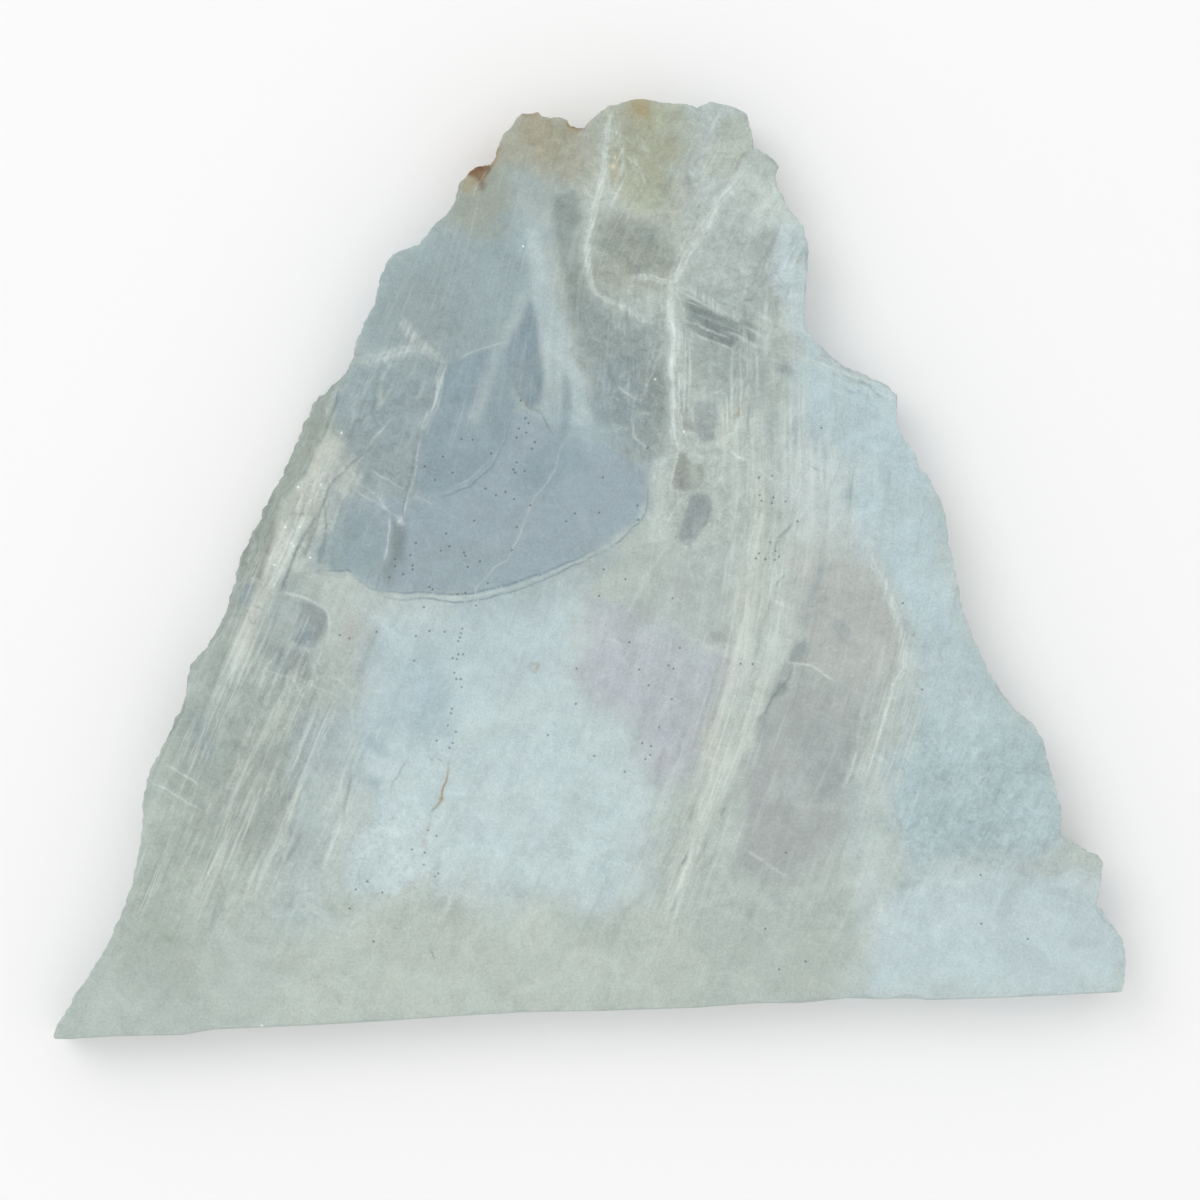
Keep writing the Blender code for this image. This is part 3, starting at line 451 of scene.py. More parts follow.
# Veins: tone, half width in mm, strength, points. Wide soft ones come first, then pale hairs, then dark
# cracks.
veins = (
    # soft bands and columns
    ("cream", 0.75, 0.6, (20.8, 13.5, 20.6, 12, 21, 10, 21.2, 8, 21, 6, 20.9, 4, 20.6, 2, 20.3, 0, 20.1, -2,
     19.9, -4, 19.7, -6)),
    ("cream", 1.5, 0.6, rightStem),
    ("cream", 1.2, 0.6, lowStem),
    ("pale", 1.2, 0.4, (25, -3, 23.5, -8, 22.5, -12)),
    ("pale", 0.9, 0.45, (19.5, -28, 19.2, -31, 17.5, -35, 15.5, -39)),
    ("pale", 0.7, 0.45, (24.5, -29.5, 28, -29.7, 31, -29.4)),
    ("pale", 0.8, 0.4, (-14.8, -35, -14.9, -37, -15.2, -40, -15.5, -43)),
    ("pale", 1.0, 0.4, (38, -40, 36, -42.5, 34.5, -46, 33, -50, 32, -54)),
    ("pale", 0.8, 0.35, (3, -51.5, 11.5, -53)),
    ("dusk", 0.55, 0.55, (22.8, 20, 22.5, 17, 22.5, 15.5)),
    ("slate", 0.9, 0.5, (27.3, 17, 28.8, 16.8)),
    ("slate", 0.9, 0.5, (32, 10.5, 32.5, 9.5, 31.3, 9)),
    ("dusk", 0.55, 0.6, (29.5, 1.5, 29, 0, 28.3, -2.3, 27.5, -4, 26.8, -5, 27, -6.5, 26.5, -8)),
    ("dusk", 0.5, 0.55, (30, -6, 31, -7.5, 32, -8.8, 33.1, -9.3)),
    ("dusk", 0.4, 0.5, (31, -6, 32, -7.2, 32.8, -8.3)),
    ("dusk", 0.6, 0.55, (-26.7, -6.5, -27, -8.5, -27.5, -10, -28.2, -11.5, -28.7, -13, -29.3, -14.8)),
    ("kite", 0.5, 0.7, (-2.9, 25, -2.9, 21, -3.2, 18, -3.7, 16)),
    ("pale", 0.8, 0.45, leftLedge),
    ("pale", 0.6, 0.45, filmShoulder),
    ("lilacDeep", 0.5, 0.5, (9.4, -22.5, 8.6, -25, 8.9, -27.8)),
    ("lilacDeep", 0.55, 0.5, (22.8, -23, 22, -25.5, 21, -27, 20.3, -29.5, 20, -31)),
    ("smokeBrown", 0.5, 0.35, (26.1, -16.4, 26, -19, 25.4, -21.6)),
    ("dusk", 0.5, 0.4, (11.7, -14, 11.5, -17)),
    ("dusk", 0.5, 0.4, (11.3, -20, 11, -23.5)),
    ("iceBlue", 0.8, 0.4, (55, -29.5, 53.5, -33, 51.5, -39, 49.5, -43)),
    ("tan", 0.6, 0.25, (-20, -31, -20.5, -33, -20.7, -35)),
    ("cream", 0.6, 0.35, (-24, -50.3, -25, -52)),
    ("dusk", 0.6, 0.35, (22.5, -40.5, 23.8, -41.5, 24.3, -42.3)),
    ("dusk", 0.7, 0.35, (39.5, -39, 38.5, -41.5)),
    ("pale", 0.6, 0.4, (30, -40, 31.8, -39.4, 33.2, -39, 34.5, -38)),
    ("pale", 0.6, 0.4, (15, -36.5, 16.5, -37.8, 17.5, -38.8)),
    ("pale", 0.7, 0.45, (2.5, 57, 2.2, 53, 1.6, 49, 0.8, 45)),
    # pale veins of the upper middle
    ("veinPale", 0.1, 0.6, (-12.6, 50.2, -13.6, 48.4, -14.8, 46.4)),
    ("veinPale", 0.14, 0.5, (-34.9, -14.7, -34.1, -11.3, -33.1, -8.4)),
    ("veinPale", 0.28, 0.7, (2.7, 58, 2, 52, 1.2, 48, 0.5, 44, -0.1, 41, -0.3, 38.5, 0.2, 36, 0.8, 34.3, 3,
     33.2, 5, 32.3, 7.5, 31, 9, 30.2)),
    ("veinPale", 0.75, 0.6, (20.3, 51.5, 18.5, 49.3, 17.5, 47.7, 16.5, 46.2, 15.5, 44.5, 12.5, 40, 11.5, 38,
     10.2, 35.6, 9.9, 34, 10.1, 32, 10.6, 30, 10.4, 27, 10.3, 25, 10.5, 22.5, 10.5, 19, 10.7, 17, 10.9,
     15.5)),
    ("white", 0.16, 0.5, (10.2, 35.6, 9.8, 34, 10, 32, 10.5, 30, 10.3, 27, 10.2, 25, 10.4, 22.5, 10.4, 19,
     10.7, 17, 10.9, 15.5, 11, 14.8, 10.8, 13.5, 10.4, 12, 10.2, 10.5, 10, 9)),
    ("veinPale", 0.3, 0.6, upperStep),
    ("veinPale", 0.25, 0.55, (10.2, 35.6, 12, 35, 15, 33.4, 19.5, 31)),
    ("white", 0.14, 0.5, (12, 31.2, 15, 30.1, 17.9, 28.7)),
    ("white", 0.14, 0.5, (12.2, 30, 15.3, 28.7, 18.3, 27.1)),
    ("veinPale", 0.2, 0.6, (11, 15, 12, 14.7, 13.3, 14.2, 14.5, 13.9, 15.5, 14)),
    ("veinPale", 0.18, 0.6, (11.2, 15.8, 12.3, 15, 12.8, 14.6)),
    ("veinPale", 0.16, 0.6, (3.5, 22.8, 4.7, 22, 6, 21.2)),
    ("veinPale", 0.16, 0.6, (5.3, 19, 5.7, 18, 5.6, 16.5, 6.5, 15.8, 7.2, 15.3)),
    ("veinPale", 0.3, 0.6, (19.8, 20, 19, 19, 18.3, 18, 17.7, 16.8, 17, 16, 16.5, 15.2, 16, 15.7, 15.3,
     15.9, 14, 15.5)),
    ("white", 0.16, 0.6, (17.5, 15, 18.3, 14.3, 19.5, 13.7)),
    ("veinPale", 0.25, 0.6, (16.5, 15.2, 17, 14, 16.7, 12.5, 16.3, 11, 16, 10.3)),
    ("white", 0.15, 0.6, (11.8, 9.4, 11, 8.2, 10.3, 7, 9.7, 5.8)),
    ("white", 0.13, 0.5, (12.5, 8.7, 11.8, 7.2)),
    ("veinPale", 0.18, 0.6, (9.7, 4.4, 10, 3.8, 10.3, 3.6)),
    ("veinPale", 0.3, 0.6, (10.2, 3.6, 9.5, 2.5, 8.5, 1, 8, 0.7, 7, -1, 6, -3, 5.3, -4.5, 4.5, -6, 3.9,
     -7)),
    ("veinPale", 0.2, 0.5, (6.8, -0.3, 6.3, -1.5, 5.5, -3.5)),
    ("pale", 0.5, 0.55, (24.3, 0, 23.7, -1, 23, -2, 22.5, -3.2, 21.8, -5, 21, -6.3)),
    ("white", 0.25, 0.6, (23.3, -4, 24.5, -4.4)),
    ("veinPale", 0.2, 0.6, (2.5, -8.6, 3.8, -9.2, 5, -9.8)),
    ("veinPale", 0.4, 0.65, (10.5, -7, 12.5, -8.3, 14.5, -9.3, 16, -9.9, 17.5, -10.6, 18.5, -10.8)),
    ("white", 0.1, 0.35, (12.5, -36.5, 11.8, -38, 10.8, -40, 10, -42.5)),
    ("white", 0.16, 0.55, (25, -11.6, 26.5, -11.8, 28.3, -12.4, 30.5, -13.9)),
    ("white", 0.2, 0.35, (19.5, -35, 21.5, -36.3, 23.5, -37.5, 25, -38.4)),
    # rims of the film
    ("rimBlue", 0.12, 0.75, (-25.8, -2.7, -23.3, -2.8, -20.5, -2.8, -19, -2.95, -17.5, -3.05, -15, -2.95,
     -13, -2.45, -10, -1.7, -7.6, -1, -5.5, -0.2, -3.6, 0.5, -1.2, 1.5, 0.5, 2.4)),
    ("rimBlue", 0.12, 0.7, (-32.9, 0.1, -31.1, -0.05, -30.1, 0.25, -29.4, -0.9, -27.1, -2.4, -25.8, -2.8)),
    ("pale", 0.1, 0.4, (-25.5, -3, -24.5, -3.1, -23.3, -3.2, -20.5, -3.2, -19, -3.4, -17.5, -3.4, -15, -3.4,
     -13, -2.9, -10, -2.1, -7.6, -1.4, -5.5, -0.6, -3.6, 0.1, -1.2, 1.1, 0.5, 2, 2, 2.9, 3.5, 3.9, 4.6, 5)),
    ("bluish", 0.16, 0.4, (4.6, 5, 5.8, 6, 6.6, 7.5, 6.9, 9, 7.2, 10.5, 7.2, 11.5, 6.6, 12.5, 5.8, 13.4,
     4.9, 14.3, 3.8, 14.6, 1.5, 15.7, -1, 16.4, -2.5, 16.7)),
    ("pale", 0.12, 0.35, (-32.4, -0.3, -30.8, -0.3, -30, -0.1, -29.5, -0.8, -28.7, -1.3, -27.8, -1.9, -27,
     -2.3)),
    ("rimBlue", 0.13, 0.6, (-10.1, 17.9, -10.4, 16.3, -11, 14.8, -11.8, 13.7, -12.6, 12.7, -13.6, 11.6,
     -14.8, 10.6, -15.8, 10, -16.6, 9.6, -18.5, 9)),
    ("pale", 0.1, 0.2, (-10.3, 18, -10.6, 16.5, -11.2, 15, -12, 13.9, -12.8, 12.9, -13.8, 11.8, -15, 10.8,
     -16, 10.2, -16.8, 9.9, -18.5, 9.3, -20, 9)),
    ("pale", 0.12, 0.35, (-13.2, 13.3, -14, 12.3, -15, 11.2, -16.5, 10.5)),
    ("pale", 0.14, 0.4, (-10.5, 28.3, -13, 27.8, -15, 27.2, -16.5, 26)),
    ("pale", 0.14, 0.45, (-2.8, 16.3, -3.5, 15, -4.2, 13, -5.3, 11, -6.7, 9.4, -7.2, 8.6, -7.8, 6.5, -8.5,
     5, -9.3, 3, -10.2, 1, -12, 0.3, -12.8, -0.8, -14, -2, -14.2, -4, -15, -6.5)),
    ("pale", 0.13, 0.4, (-15.3, -4.2, -15.6, -6)),
    # the upper left
    ("veinPale", 0.26, 0.5, filmSide),
    ("veinPale", 0.14, 0.6, (-21, 17, -21.3, 15, -21.7, 13, -22, 11.5, -22.3, 10, -22.8, 8.3, -23.3, 6.7,
     -23.8, 6.2)),
    ("white", 0.45, 0.8, (-24.1, 6.4, -23.5, 6.1)),
    ("veinPale", 0.13, 0.5, (-23.9, 6.5, -25.2, 7.5, -26.5, 8.3, -28, 9, -29.5, 10)),
    ("veinPale", 0.14, 0.5, (-27.2, 10, -26, 8.5, -25.2, 7.5)),
    ("veinPale", 0.13, 0.5, (-27.3, 12.5, -26, 11.7, -24.5, 10.8, -23, 10)),
    ("veinPale", 0.13, 0.35, (-22, 9.3, -20.5, 8.7, -19.5, 8)),
    ("white", 0.12, 0.6, (-25.1, 7, -25.2, 5, -25.5, 2.5, -25.8, 0.8, -26.1, -0.5)),
    ("veinPale", 0.16, 0.5, (-24.7, 19, -25.5, 17.8, -27, 16.5, -28, 15, -29, 13, -29.8, 11, -30.5, 9.3,
     -31.3, 7.5, -32, 6, -32.5, 4.5)),
    ("pale", 0.4, 0.4, (-25.7, 24.5, -26.2, 22, -26.6, 20)),
    # the left margin
    ("veinPale", 0.2, 0.6, (-43.5, -1.2, -41.2, -1.2)),
    ("white", 0.2, 0.6, (-38.8, -2.9, -37, -3.1, -36, -3.4, -34.8, -3.9, -33.5, -4.5, -32.8, -5, -32.4, -6,
     -32.4, -7.5, -32.6, -9)),
    ("veinPale", 0.18, 0.5, (-32.4, -12.8, -31.5, -13.7, -30.5, -14.7, -29.3, -15.7)),
    ("veinPale", 0.16, 0.5, (-32.4, -14.5, -31, -14.7, -29.8, -15.5)),
    ("veinPale", 0.16, 0.5, (-42, -12.4, -39, -13.2, -36.4, -13.4, -33.4, -15, -30.6, -16.4)),
    ("veinPale", 0.16, 0.45, (-40.4, -15.4, -37, -15.2, -34, -13.6, -32.4, -12.8)),
    ("veinPale", 0.15, 0.45, (-37.4, -12.6, -36.6, -14.6, -35.4, -17)),
    ("veinPale", 0.13, 0.45, (-29.5, -5.7, -27.5, -6.7)),
    ("veinPale", 0.15, 0.5, (-26.7, -3.6, -26.9, -4.6)),
    ("white", 0.14, 0.5, (-53, -24.3, -50.6, -25.6, -48.5, -27.2)),
    ("white", 0.14, 0.5, (-54.3, -26.7, -51.4, -28.5, -48.7, -29.9)),
    ("white", 0.2, 0.4, (-17.5, -41, -17.7, -42, -18, -43)),
    # the right arc and its branches
    ("veinPale", 0.4, 0.5, (34.5, 3.2, 35.2, 2, 35.8, 0.8, 36.5, -0.8, 37.2, -2.3, 37.8, -4, 38.3, -5.5,
     38.9, -7.3, 39.3, -9, 39.4, -10.5, 39.2, -12, 38.8, -13, 38.2, -14.5, 37.8, -16, 37.4, -17.5, 36.8,
     -19, 36.2, -20.5, 35.6, -22, 35.2, -23.5, 34.8, -25, 34.2, -26.5)),
    ("white", 0.13, 0.4, (34.5, 3.2, 35.8, 0.8, 37.2, -2.3, 38.3, -5.5, 39.3, -9, 39.2, -12, 38.2, -14.5,
     37.4, -17.5, 36.2, -20.5, 35.2, -23.5)),
    ("veinPale", 0.16, 0.5, (37.8, -6, 38.3, -8, 38.7, -10)),
    ("veinPale", 0.2, 0.55, (40.2, -15.2, 43, -15.2, 45, -16)),
    ("veinPale", 0.3, 0.5, (40, -16.5, 39.3, -18.5, 39, -20, 38.5, -22, 38.3, -23.5)),
    ("veinPale", 0.25, 0.5, (37.3, -22, 36.2, -25, 35.5, -27.5, 35.3, -29.5)),
    ("white", 0.14, 0.6, (33.3, -23, 32.5, -25, 32, -27)),
    ("veinPale", 0.16, 0.5, (43, -11.5, 44, -12)),
    ("veinPale", 0.2, 0.5, (42.8, -32.7, 43.3, -33.2, 44, -32.8)),
    ("white", 0.16, 0.7, (52.5, -28.4, 52.9, -28.2)),
    ("veinPale", 0.25, 0.5, (29, 26.6, 33, 24.6, 38, 22)),
    ("veinPale", 0.16, 0.5, (58, -33, 60.5, -34.8, 63, -36.5)),
    # small marks
    ("tan", 0.2, 0.55, (-7.4, -12.4, -7.2, -12.9, -6.8, -13.05, -6.4, -12.9, -6.15, -12.4, -6.4, -11.9,
     -6.8, -11.75, -7.2, -11.9, -7.4, -12.4)),
    ("tan", 0.18, 0.5, (-25, -31.3, -24.6, -31, -24.2, -31.2)),
    ("smoke", 0.14, 0.5, (-4.8, -19.2, -4.4, -19.6, -4, -19.7)),
    # dark cracks and streaks
    ("smokeBrown", 0.3, 0.6, (13.3, 53.5, 12.4, 51.5, 12.2, 49.5, 13, 47)),
    ("smokeBrown", 0.18, 0.7, (19.6, 52.2, 18.9, 51, 18, 49.2)),
    ("smokeBrown", 0.2, 0.6, (13.6, 44.6, 12.8, 42.4)),
    ("shadow", 0.14, 0.5, (33, 24.3, 35, 22.9, 37, 21.3)),
    ("shadow", 0.16, 0.55, (-9.3, 23, -8.7, 21.7, -7.6, 20, -6.6, 19.9, -6.2, 19.6, -6, 18.7, -5.2, 17.7,
     -4.6, 17)),
    ("rimBlue", 0.12, 0.7, (-25.5, -3.4, -23.5, -3.7, -20, -3.7, -17.5, -3.9, -15, -4, -12.5, -3.4, -10,
     -2.7, -8, -2.1, -5.5, -1.2, -3.2, -0.2, -1.2, 0.7, 0.6, 1.6, 2, 2.4)),
    ("rimBlue", 0.12, 0.6, (2, 2.4, 4, 3.9, 5.3, 5.2, 6.3, 6.2, 7, 7.6, 7.2, 9.2, 7.5, 10.8)),
    ("shadow", 0.13, 0.45, (-21.7, 15, -22.1, 13, -22.5, 11, -23, 8.6, -23.4, 7)),
    ("shadow", 0.14, 0.5, (-25.5, 2, -26.2, -0.5, -26.8, -2.5)),
    ("shadow", 0.4, 0.35, (-26.2, 24.5, -26.8, 22, -27.2, 20)),
    ("shadow", 0.2, 0.4, (-29.8, 18.7, -28.3, 18.7)),
    ("shadow", 0.16, 0.5, (-30.3, 25, -31, 23.5, -31.5, 21.7, -32, 20.2, -32.7, 18.5, -33.1, 16.8, -34.5,
     15, -35.5, 12.5, -36.5, 11, -38.3, 8.5, -40, 5.5)),
    ("rust", 0.18, 0.7, (-29.7, 27, -30.2, 26, -30.6, 24.8)),
    ("shadow", 0.15, 0.6, (-33.2, 9, -33.7, 7.5, -34.2, 5.5, -34.6, 3.8, -35.2, 2.2, -35.5, 1.2)),
    ("shadow", 0.17, 0.75, (-27.4, 15.2, -30.1, 12.9, -32.2, 10.7, -33.4, 8.6, -34.1, 6.8)),
    ("shadow", 0.14, 0.6, (-33.4, 8.6, -32.9, 6.2, -33, 3.9, -33.1, 1.6)),
    ("smokeBrown", 0.45, 0.6, (-35.9, 7.3, -36, 6.2)),
    ("smokeBrown", 0.4, 0.6, (-32.6, 12, -33, 11)),
    ("smokeBrown", 0.5, 0.6, (-30.3, 15.3, -30.9, 13.6)),
    ("smokeBrown", 0.3, 0.6, (-34.2, 15.2, -34.6, 14.4)),
    ("shadow", 0.18, 0.75, (-34.2, 7, -35, 5.3, -35.8, 3.8, -36.5, 2.5, -37.3, 0.8, -38, -0.7, -38.5, -2,
     -38.8, -2.6)),
    ("shadow", 0.3, 0.6, (-38.4, -1.7, -38.2, -2.1)),
    ("smokeBrown", 0.14, 0.6, (-42.2, -4.6, -40.4, -4.9)),
    ("smokeBrown", 0.14, 0.6, (-41.6, -6, -41.6, -6.9, -42.3, -6.8, -42.5, -5.4)),
    ("shadow", 0.5, 0.4, (-40.2, -10.6, -39.8, -10.8)),
    ("smokeBrown", 0.15, 0.55, (-41.5, -33, -42.6, -35.4, -44, -38)),
    ("shadow", 0.3, 0.35, (-43.6, -30.2, -44.4, -32)),
    ("shadow", 0.25, 0.4, (-36, -33, -38, -37)),
    ("shadow", 0.25, 0.35, (-36.6, -40.2, -37.4, -42)),
    ("shadow", 0.22, 0.5, (-29.7, -25, -30, -27, -30.2, -28.3, -30.6, -30.5, -30.9, -32)),
    ("smoke", 0.13, 0.6, (-22.8, -23.8, -23.5, -25, -24.3, -26.2, -24.9, -27.5)),
    ("rust", 0.14, 0.75, (-17.7, -24.2, -17.8, -25, -18, -26.5, -18.5, -28, -18.6, -28.7, -19.1, -29.5,
     -19.5, -30, -19.8, -30.3)),
    ("rust", 0.3, 0.6, (-18.5, -28.5, -18.7, -28.9)),
    ("ink", 0.12, 0.55, (-19.3, -29.5, -19.8, -30.3)),
    ("shadow", 0.14, 0.55, (-19.9, -23.6, -19.6, -24, -19.4, -23.7)),
    ("shadow", 0.12, 0.5, (-20, -24.6, -19.5, -24.3)),
    ("shadow", 0.12, 0.5, (-18.8, -23.8, -18.4, -24)),
    ("shadow", 0.12, 0.5, (-20, -47.5, -19.5, -48.5, -19.3, -49)),
    ("rust", 0.3, 0.4, (19, 20.5, 18.2, 19)),
    ("shadow", 0.16, 0.5, (20.2, 21, 19.9, 19.5, 19.7, 17.5, 19.8, 16, 19.9, 14.9)),
    ("shadow", 0.3, 0.4, (20.1, 19.4, 20.1, 19)),
    ("smoke", 0.14, 0.5, (27.3, 13.2, 28.3, 12.7, 29, 12.4)),
    ("shadow", 0.13, 0.55, (10.7, 4.2, 10.7, 3.6)),
    ("shadow", 0.16, 0.55, (25.2, 5.6, 24.6, 4.8, 24, 4, 23.5, 3, 23, 2)),
    ("shadow", 0.16, 0.55, (24.4, -0.3, 24, -1, 23.6, -1.8, 23.2, -2.5)),
    ("shadow", 0.16, 0.55, (22.7, -4, 22.4, -5, 21.9, -5.8, 21.6, -6.3)),
    ("smoke", 0.3, 0.5, (13, -30, 12.5, -31.8)),
    ("smoke", 0.25, 0.55, (12.2, -35.2, 11.3, -37, 10.8, -38.5)),
    ("smoke", 0.25, 0.45, (14.8, -34, 14.4, -35.5)),
    ("smoke", 0.25, 0.45, (17, -29.5, 16.5, -31)),
    ("smoke", 0.2, 0.5, (11, -40.5, 10.5, -42, 10.1, -43)),
    ("shadow", 0.13, 0.65, (25.3, -12.2, 24.9, -13.8, 22.9, -15.8, 21.9, -18.1, 21, -19.1)),
    ("shadow", 0.12, 0.6, (17.1, -29.6, 16.7, -30.4, 16.6, -31.2)),
    ("shadow", 0.12, 0.6, (15.1, -33.8, 14.6, -34.8, 14.5, -35.6)),
    ("shadow", 0.12, 0.5, (12.6, -34.6, 11.9, -35.8, 11.3, -37)),
    ("shadow", 0.14, 0.4, (33.7, -23, 32.9, -25, 32.4, -27)),
    ("shadow", 0.13, 0.5, (40.8, -7.9, 40.4, -8.5)),
    ("shadow", 0.13, 0.4, (38.9, 1.4, 38.9, 1)),
    ("shadow", 0.14, 0.5, (33.1, -36.2, 33.7, -36.2)),
    ("smoke", 0.25, 0.35, (38, -30.8, 39.5, -32.8, 41, -32, 41.5, -30.5, 43, -31.5)),
    ("smoke", 0.3, 0.3, (45.5, -26.8, 44, -26, 42.5, -25.5)),
    ("smoke", 0.25, 0.3, (43.5, -9.5, 44, -11.5)),
    ("smoke", 0.3, 0.3, (45, -8, 44.6, -9)),
    ("smoke", 0.3, 0.25, (41.8, -18.4, 41.8, -19.6)),
)

# Stains of the old skin, and painted golden glints of light reflected in a crack, laid over everything else
# in the same form.
stainsAndGlints = (
    ("ochre", 1.7, 0.8, (4.6, 57.4, 8, 57.6)),
    ("ochre", 0.9, 0.8, (5, 58.6, 7.6, 58.7)),
    ("ochre", 1.0, 0.7, (-2.4, 55.6, -0.9, 55.3)),
    ("rust", 0.6, 0.9, (-3, 56, -1.2, 55.4)),
    ("tan", 1.6, 0.5, (-8.4, 55.8, -6, 56)),
    ("rust", 0.6, 0.7, (-8.4, 57, -6.4, 57.2)),
    ("rust", 1.5, 0.85, (-15, 49.6, -12.8, 50.3)),
    ("brown", 0.7, 0.95, (-14.7, 50.2, -13, 50.3)),
    ("brown", 0.4, 0.7, (-13.6, 48.4, -13.2, 47.2)),
    ("rust", 0.5, 0.6, (-12.4, 50.6, -11.4, 53)),
    ("ink", 0.3, 0.8, (-12.2, 52, -12, 51.5)),
    ("rust", 0.35, 0.7, (-29.6, 27.6, -30.4, 25)),
    # painted highlights: golden glints of light reflected in a crack, not stains
    ("gold", 0.3, 1.0, (3.3, 49.5, 3.4, 49)),
    ("gold", 0.22, 1.0, (2.8, 50.3, 2.95, 50.8)),
    ("gold", 0.15, 0.9, (3.2, 51.7, 3.2, 51.5)),
    ("gold", 0.16, 0.9, (3.3, 48.5, 3.35, 48.3)),
)

# Braided veins: tone, half width of a strand, strength, strands, spread in mm, points.
braids = (
    ("white", 0.1, 0.42, 4, 0.75, (19.2, 50, 17.5, 47.7, 15.5, 44.5, 12.5, 40, 11.5, 38, 10.2, 35.6)),
    ("white", 0.1, 0.45, 4, 0.7, (10.2, 35.6, 9.9, 34, 10.1, 32, 10.6, 30, 10.4, 27, 10.3, 25, 10.5, 22.5,
     10.5, 19, 10.7, 17, 10.9, 15.5, 11, 14.8)),
    ("pale", 0.1, 0.4, 3, 0.5, (12, 30.5, 12.4, 26, 12.2, 22, 11.6, 18.5)),
    ("white", 0.1, 0.4, 2, 0.35, (2.7, 58, 2, 52, 1.2, 48, 0.5, 44, -0.1, 41, -0.3, 38.5, 0.2, 36, 0.8,
     34.3)),
    ("pale", 0.1, 0.25, 3, 0.5, (0.8, 34.3, 3, 33.2, 5, 32.3, 7.5, 31, 9, 30.2)),
    ("pale", 0.1, 0.35, 3, 0.5, (3, 58, 3.6, 53, 4, 49, 2.4, 45)),
    ("pale", 0.1, 0.35, 3, 0.7, (15.5, 58, 15.7, 54, 14.4, 50.5, 15.4, 47)),
    ("white", 0.1, 0.4, 2, 0.35, upperStep),
    ("pale", 0.11, 0.4, 5, 1.3, rightStem),
    ("pale", 0.11, 0.42, 5, 1.0, lowStem),
    ("white", 0.1, 0.4, 3, 0.7, (20.8, 13.5, 20.6, 12, 21, 10, 21.2, 8, 21, 6, 20.9, 4, 20.6, 2, 20.3, 0,
     20.1, -2)),
    ("pale", 0.1, 0.4, 4, 1.2, (24.2, 12, 23.8, 8, 24.4, 4, 23.2, -1, 22, -6, 22.6, -11)),
    ("pale", 0.1, 0.35, 4, 1.2, (26.6, 22, 25.6, 18, 25.4, 13, 24.4, 9)),
    ("pale", 0.1, 0.35, 3, 0.8, (19.6, 30, 18.6, 26, 17.8, 22, 17, 17)),
    ("pale", 0.1, 0.35, 3, 0.9, (22, 30, 20.6, 26, 19.4, 22.5, 18.2, 18)),
    ("white", 0.1, 0.32, 3, 0.5, filmSide),
    ("pale", 0.1, 0.3, 3, 0.7, filmShoulder),
    ("pale", 0.1, 0.3, 3, 0.5, leftLedge),
    ("white", 0.1, 0.35, 2, 0.5, (34.5, 3.2, 35.8, 0.8, 37.2, -2.3, 38.3, -5.5, 39.3, -9, 39.2, -12, 38.2,
     -14.5)),
    ("pale", 0.1, 0.35, 4, 1.2, (38.6, -14, 37.4, -17.5, 36.2, -20.5, 35.2, -23.5, 34.2, -26.5)),
    ("pale", 0.1, 0.35, 4, 1.6, (40, -15, 39.3, -18.5, 38.4, -23.5, 37, -28)),
    ("white", 0.1, 0.15, 3, 1.2, (-41, 4, -42.5, -2, -44, -8, -46, -14)),
    ("white", 0.1, 0.2, 4, 1.3, (-33.5, 14, -36, 8, -38.2, 2, -40.4, -3)),
    ("pale", 0.11, 0.35, 3, 1.2, (-41.5, -6, -43, -10, -45, -15, -47.4, -21, -49.5, -26, -51.5, -33)),
    ("cream", 0.11, 0.35, 5, 1.6, (-38.6, -13, -40.5, -18, -42, -24, -44, -30, -46.6, -37, -49.4, -43)),
    ("pale", 0.11, 0.35, 4, 1.5, (-33, -16, -34.4, -21, -36.5, -27, -39, -34, -42, -42)),
    ("pale", 0.11, 0.35, 4, 1.2, (-28.6, -20, -30, -26, -31.4, -32, -33.4, -38)),
    ("pale", 0.1, 0.3, 3, 0.5, (12, 35.2, 15, 33.6, 19.5, 31.2)),
    ("pale", 0.1, 0.35, 4, 0.8, (28, 27.8, 32, 25.6, 37.6, 22.4)),
)

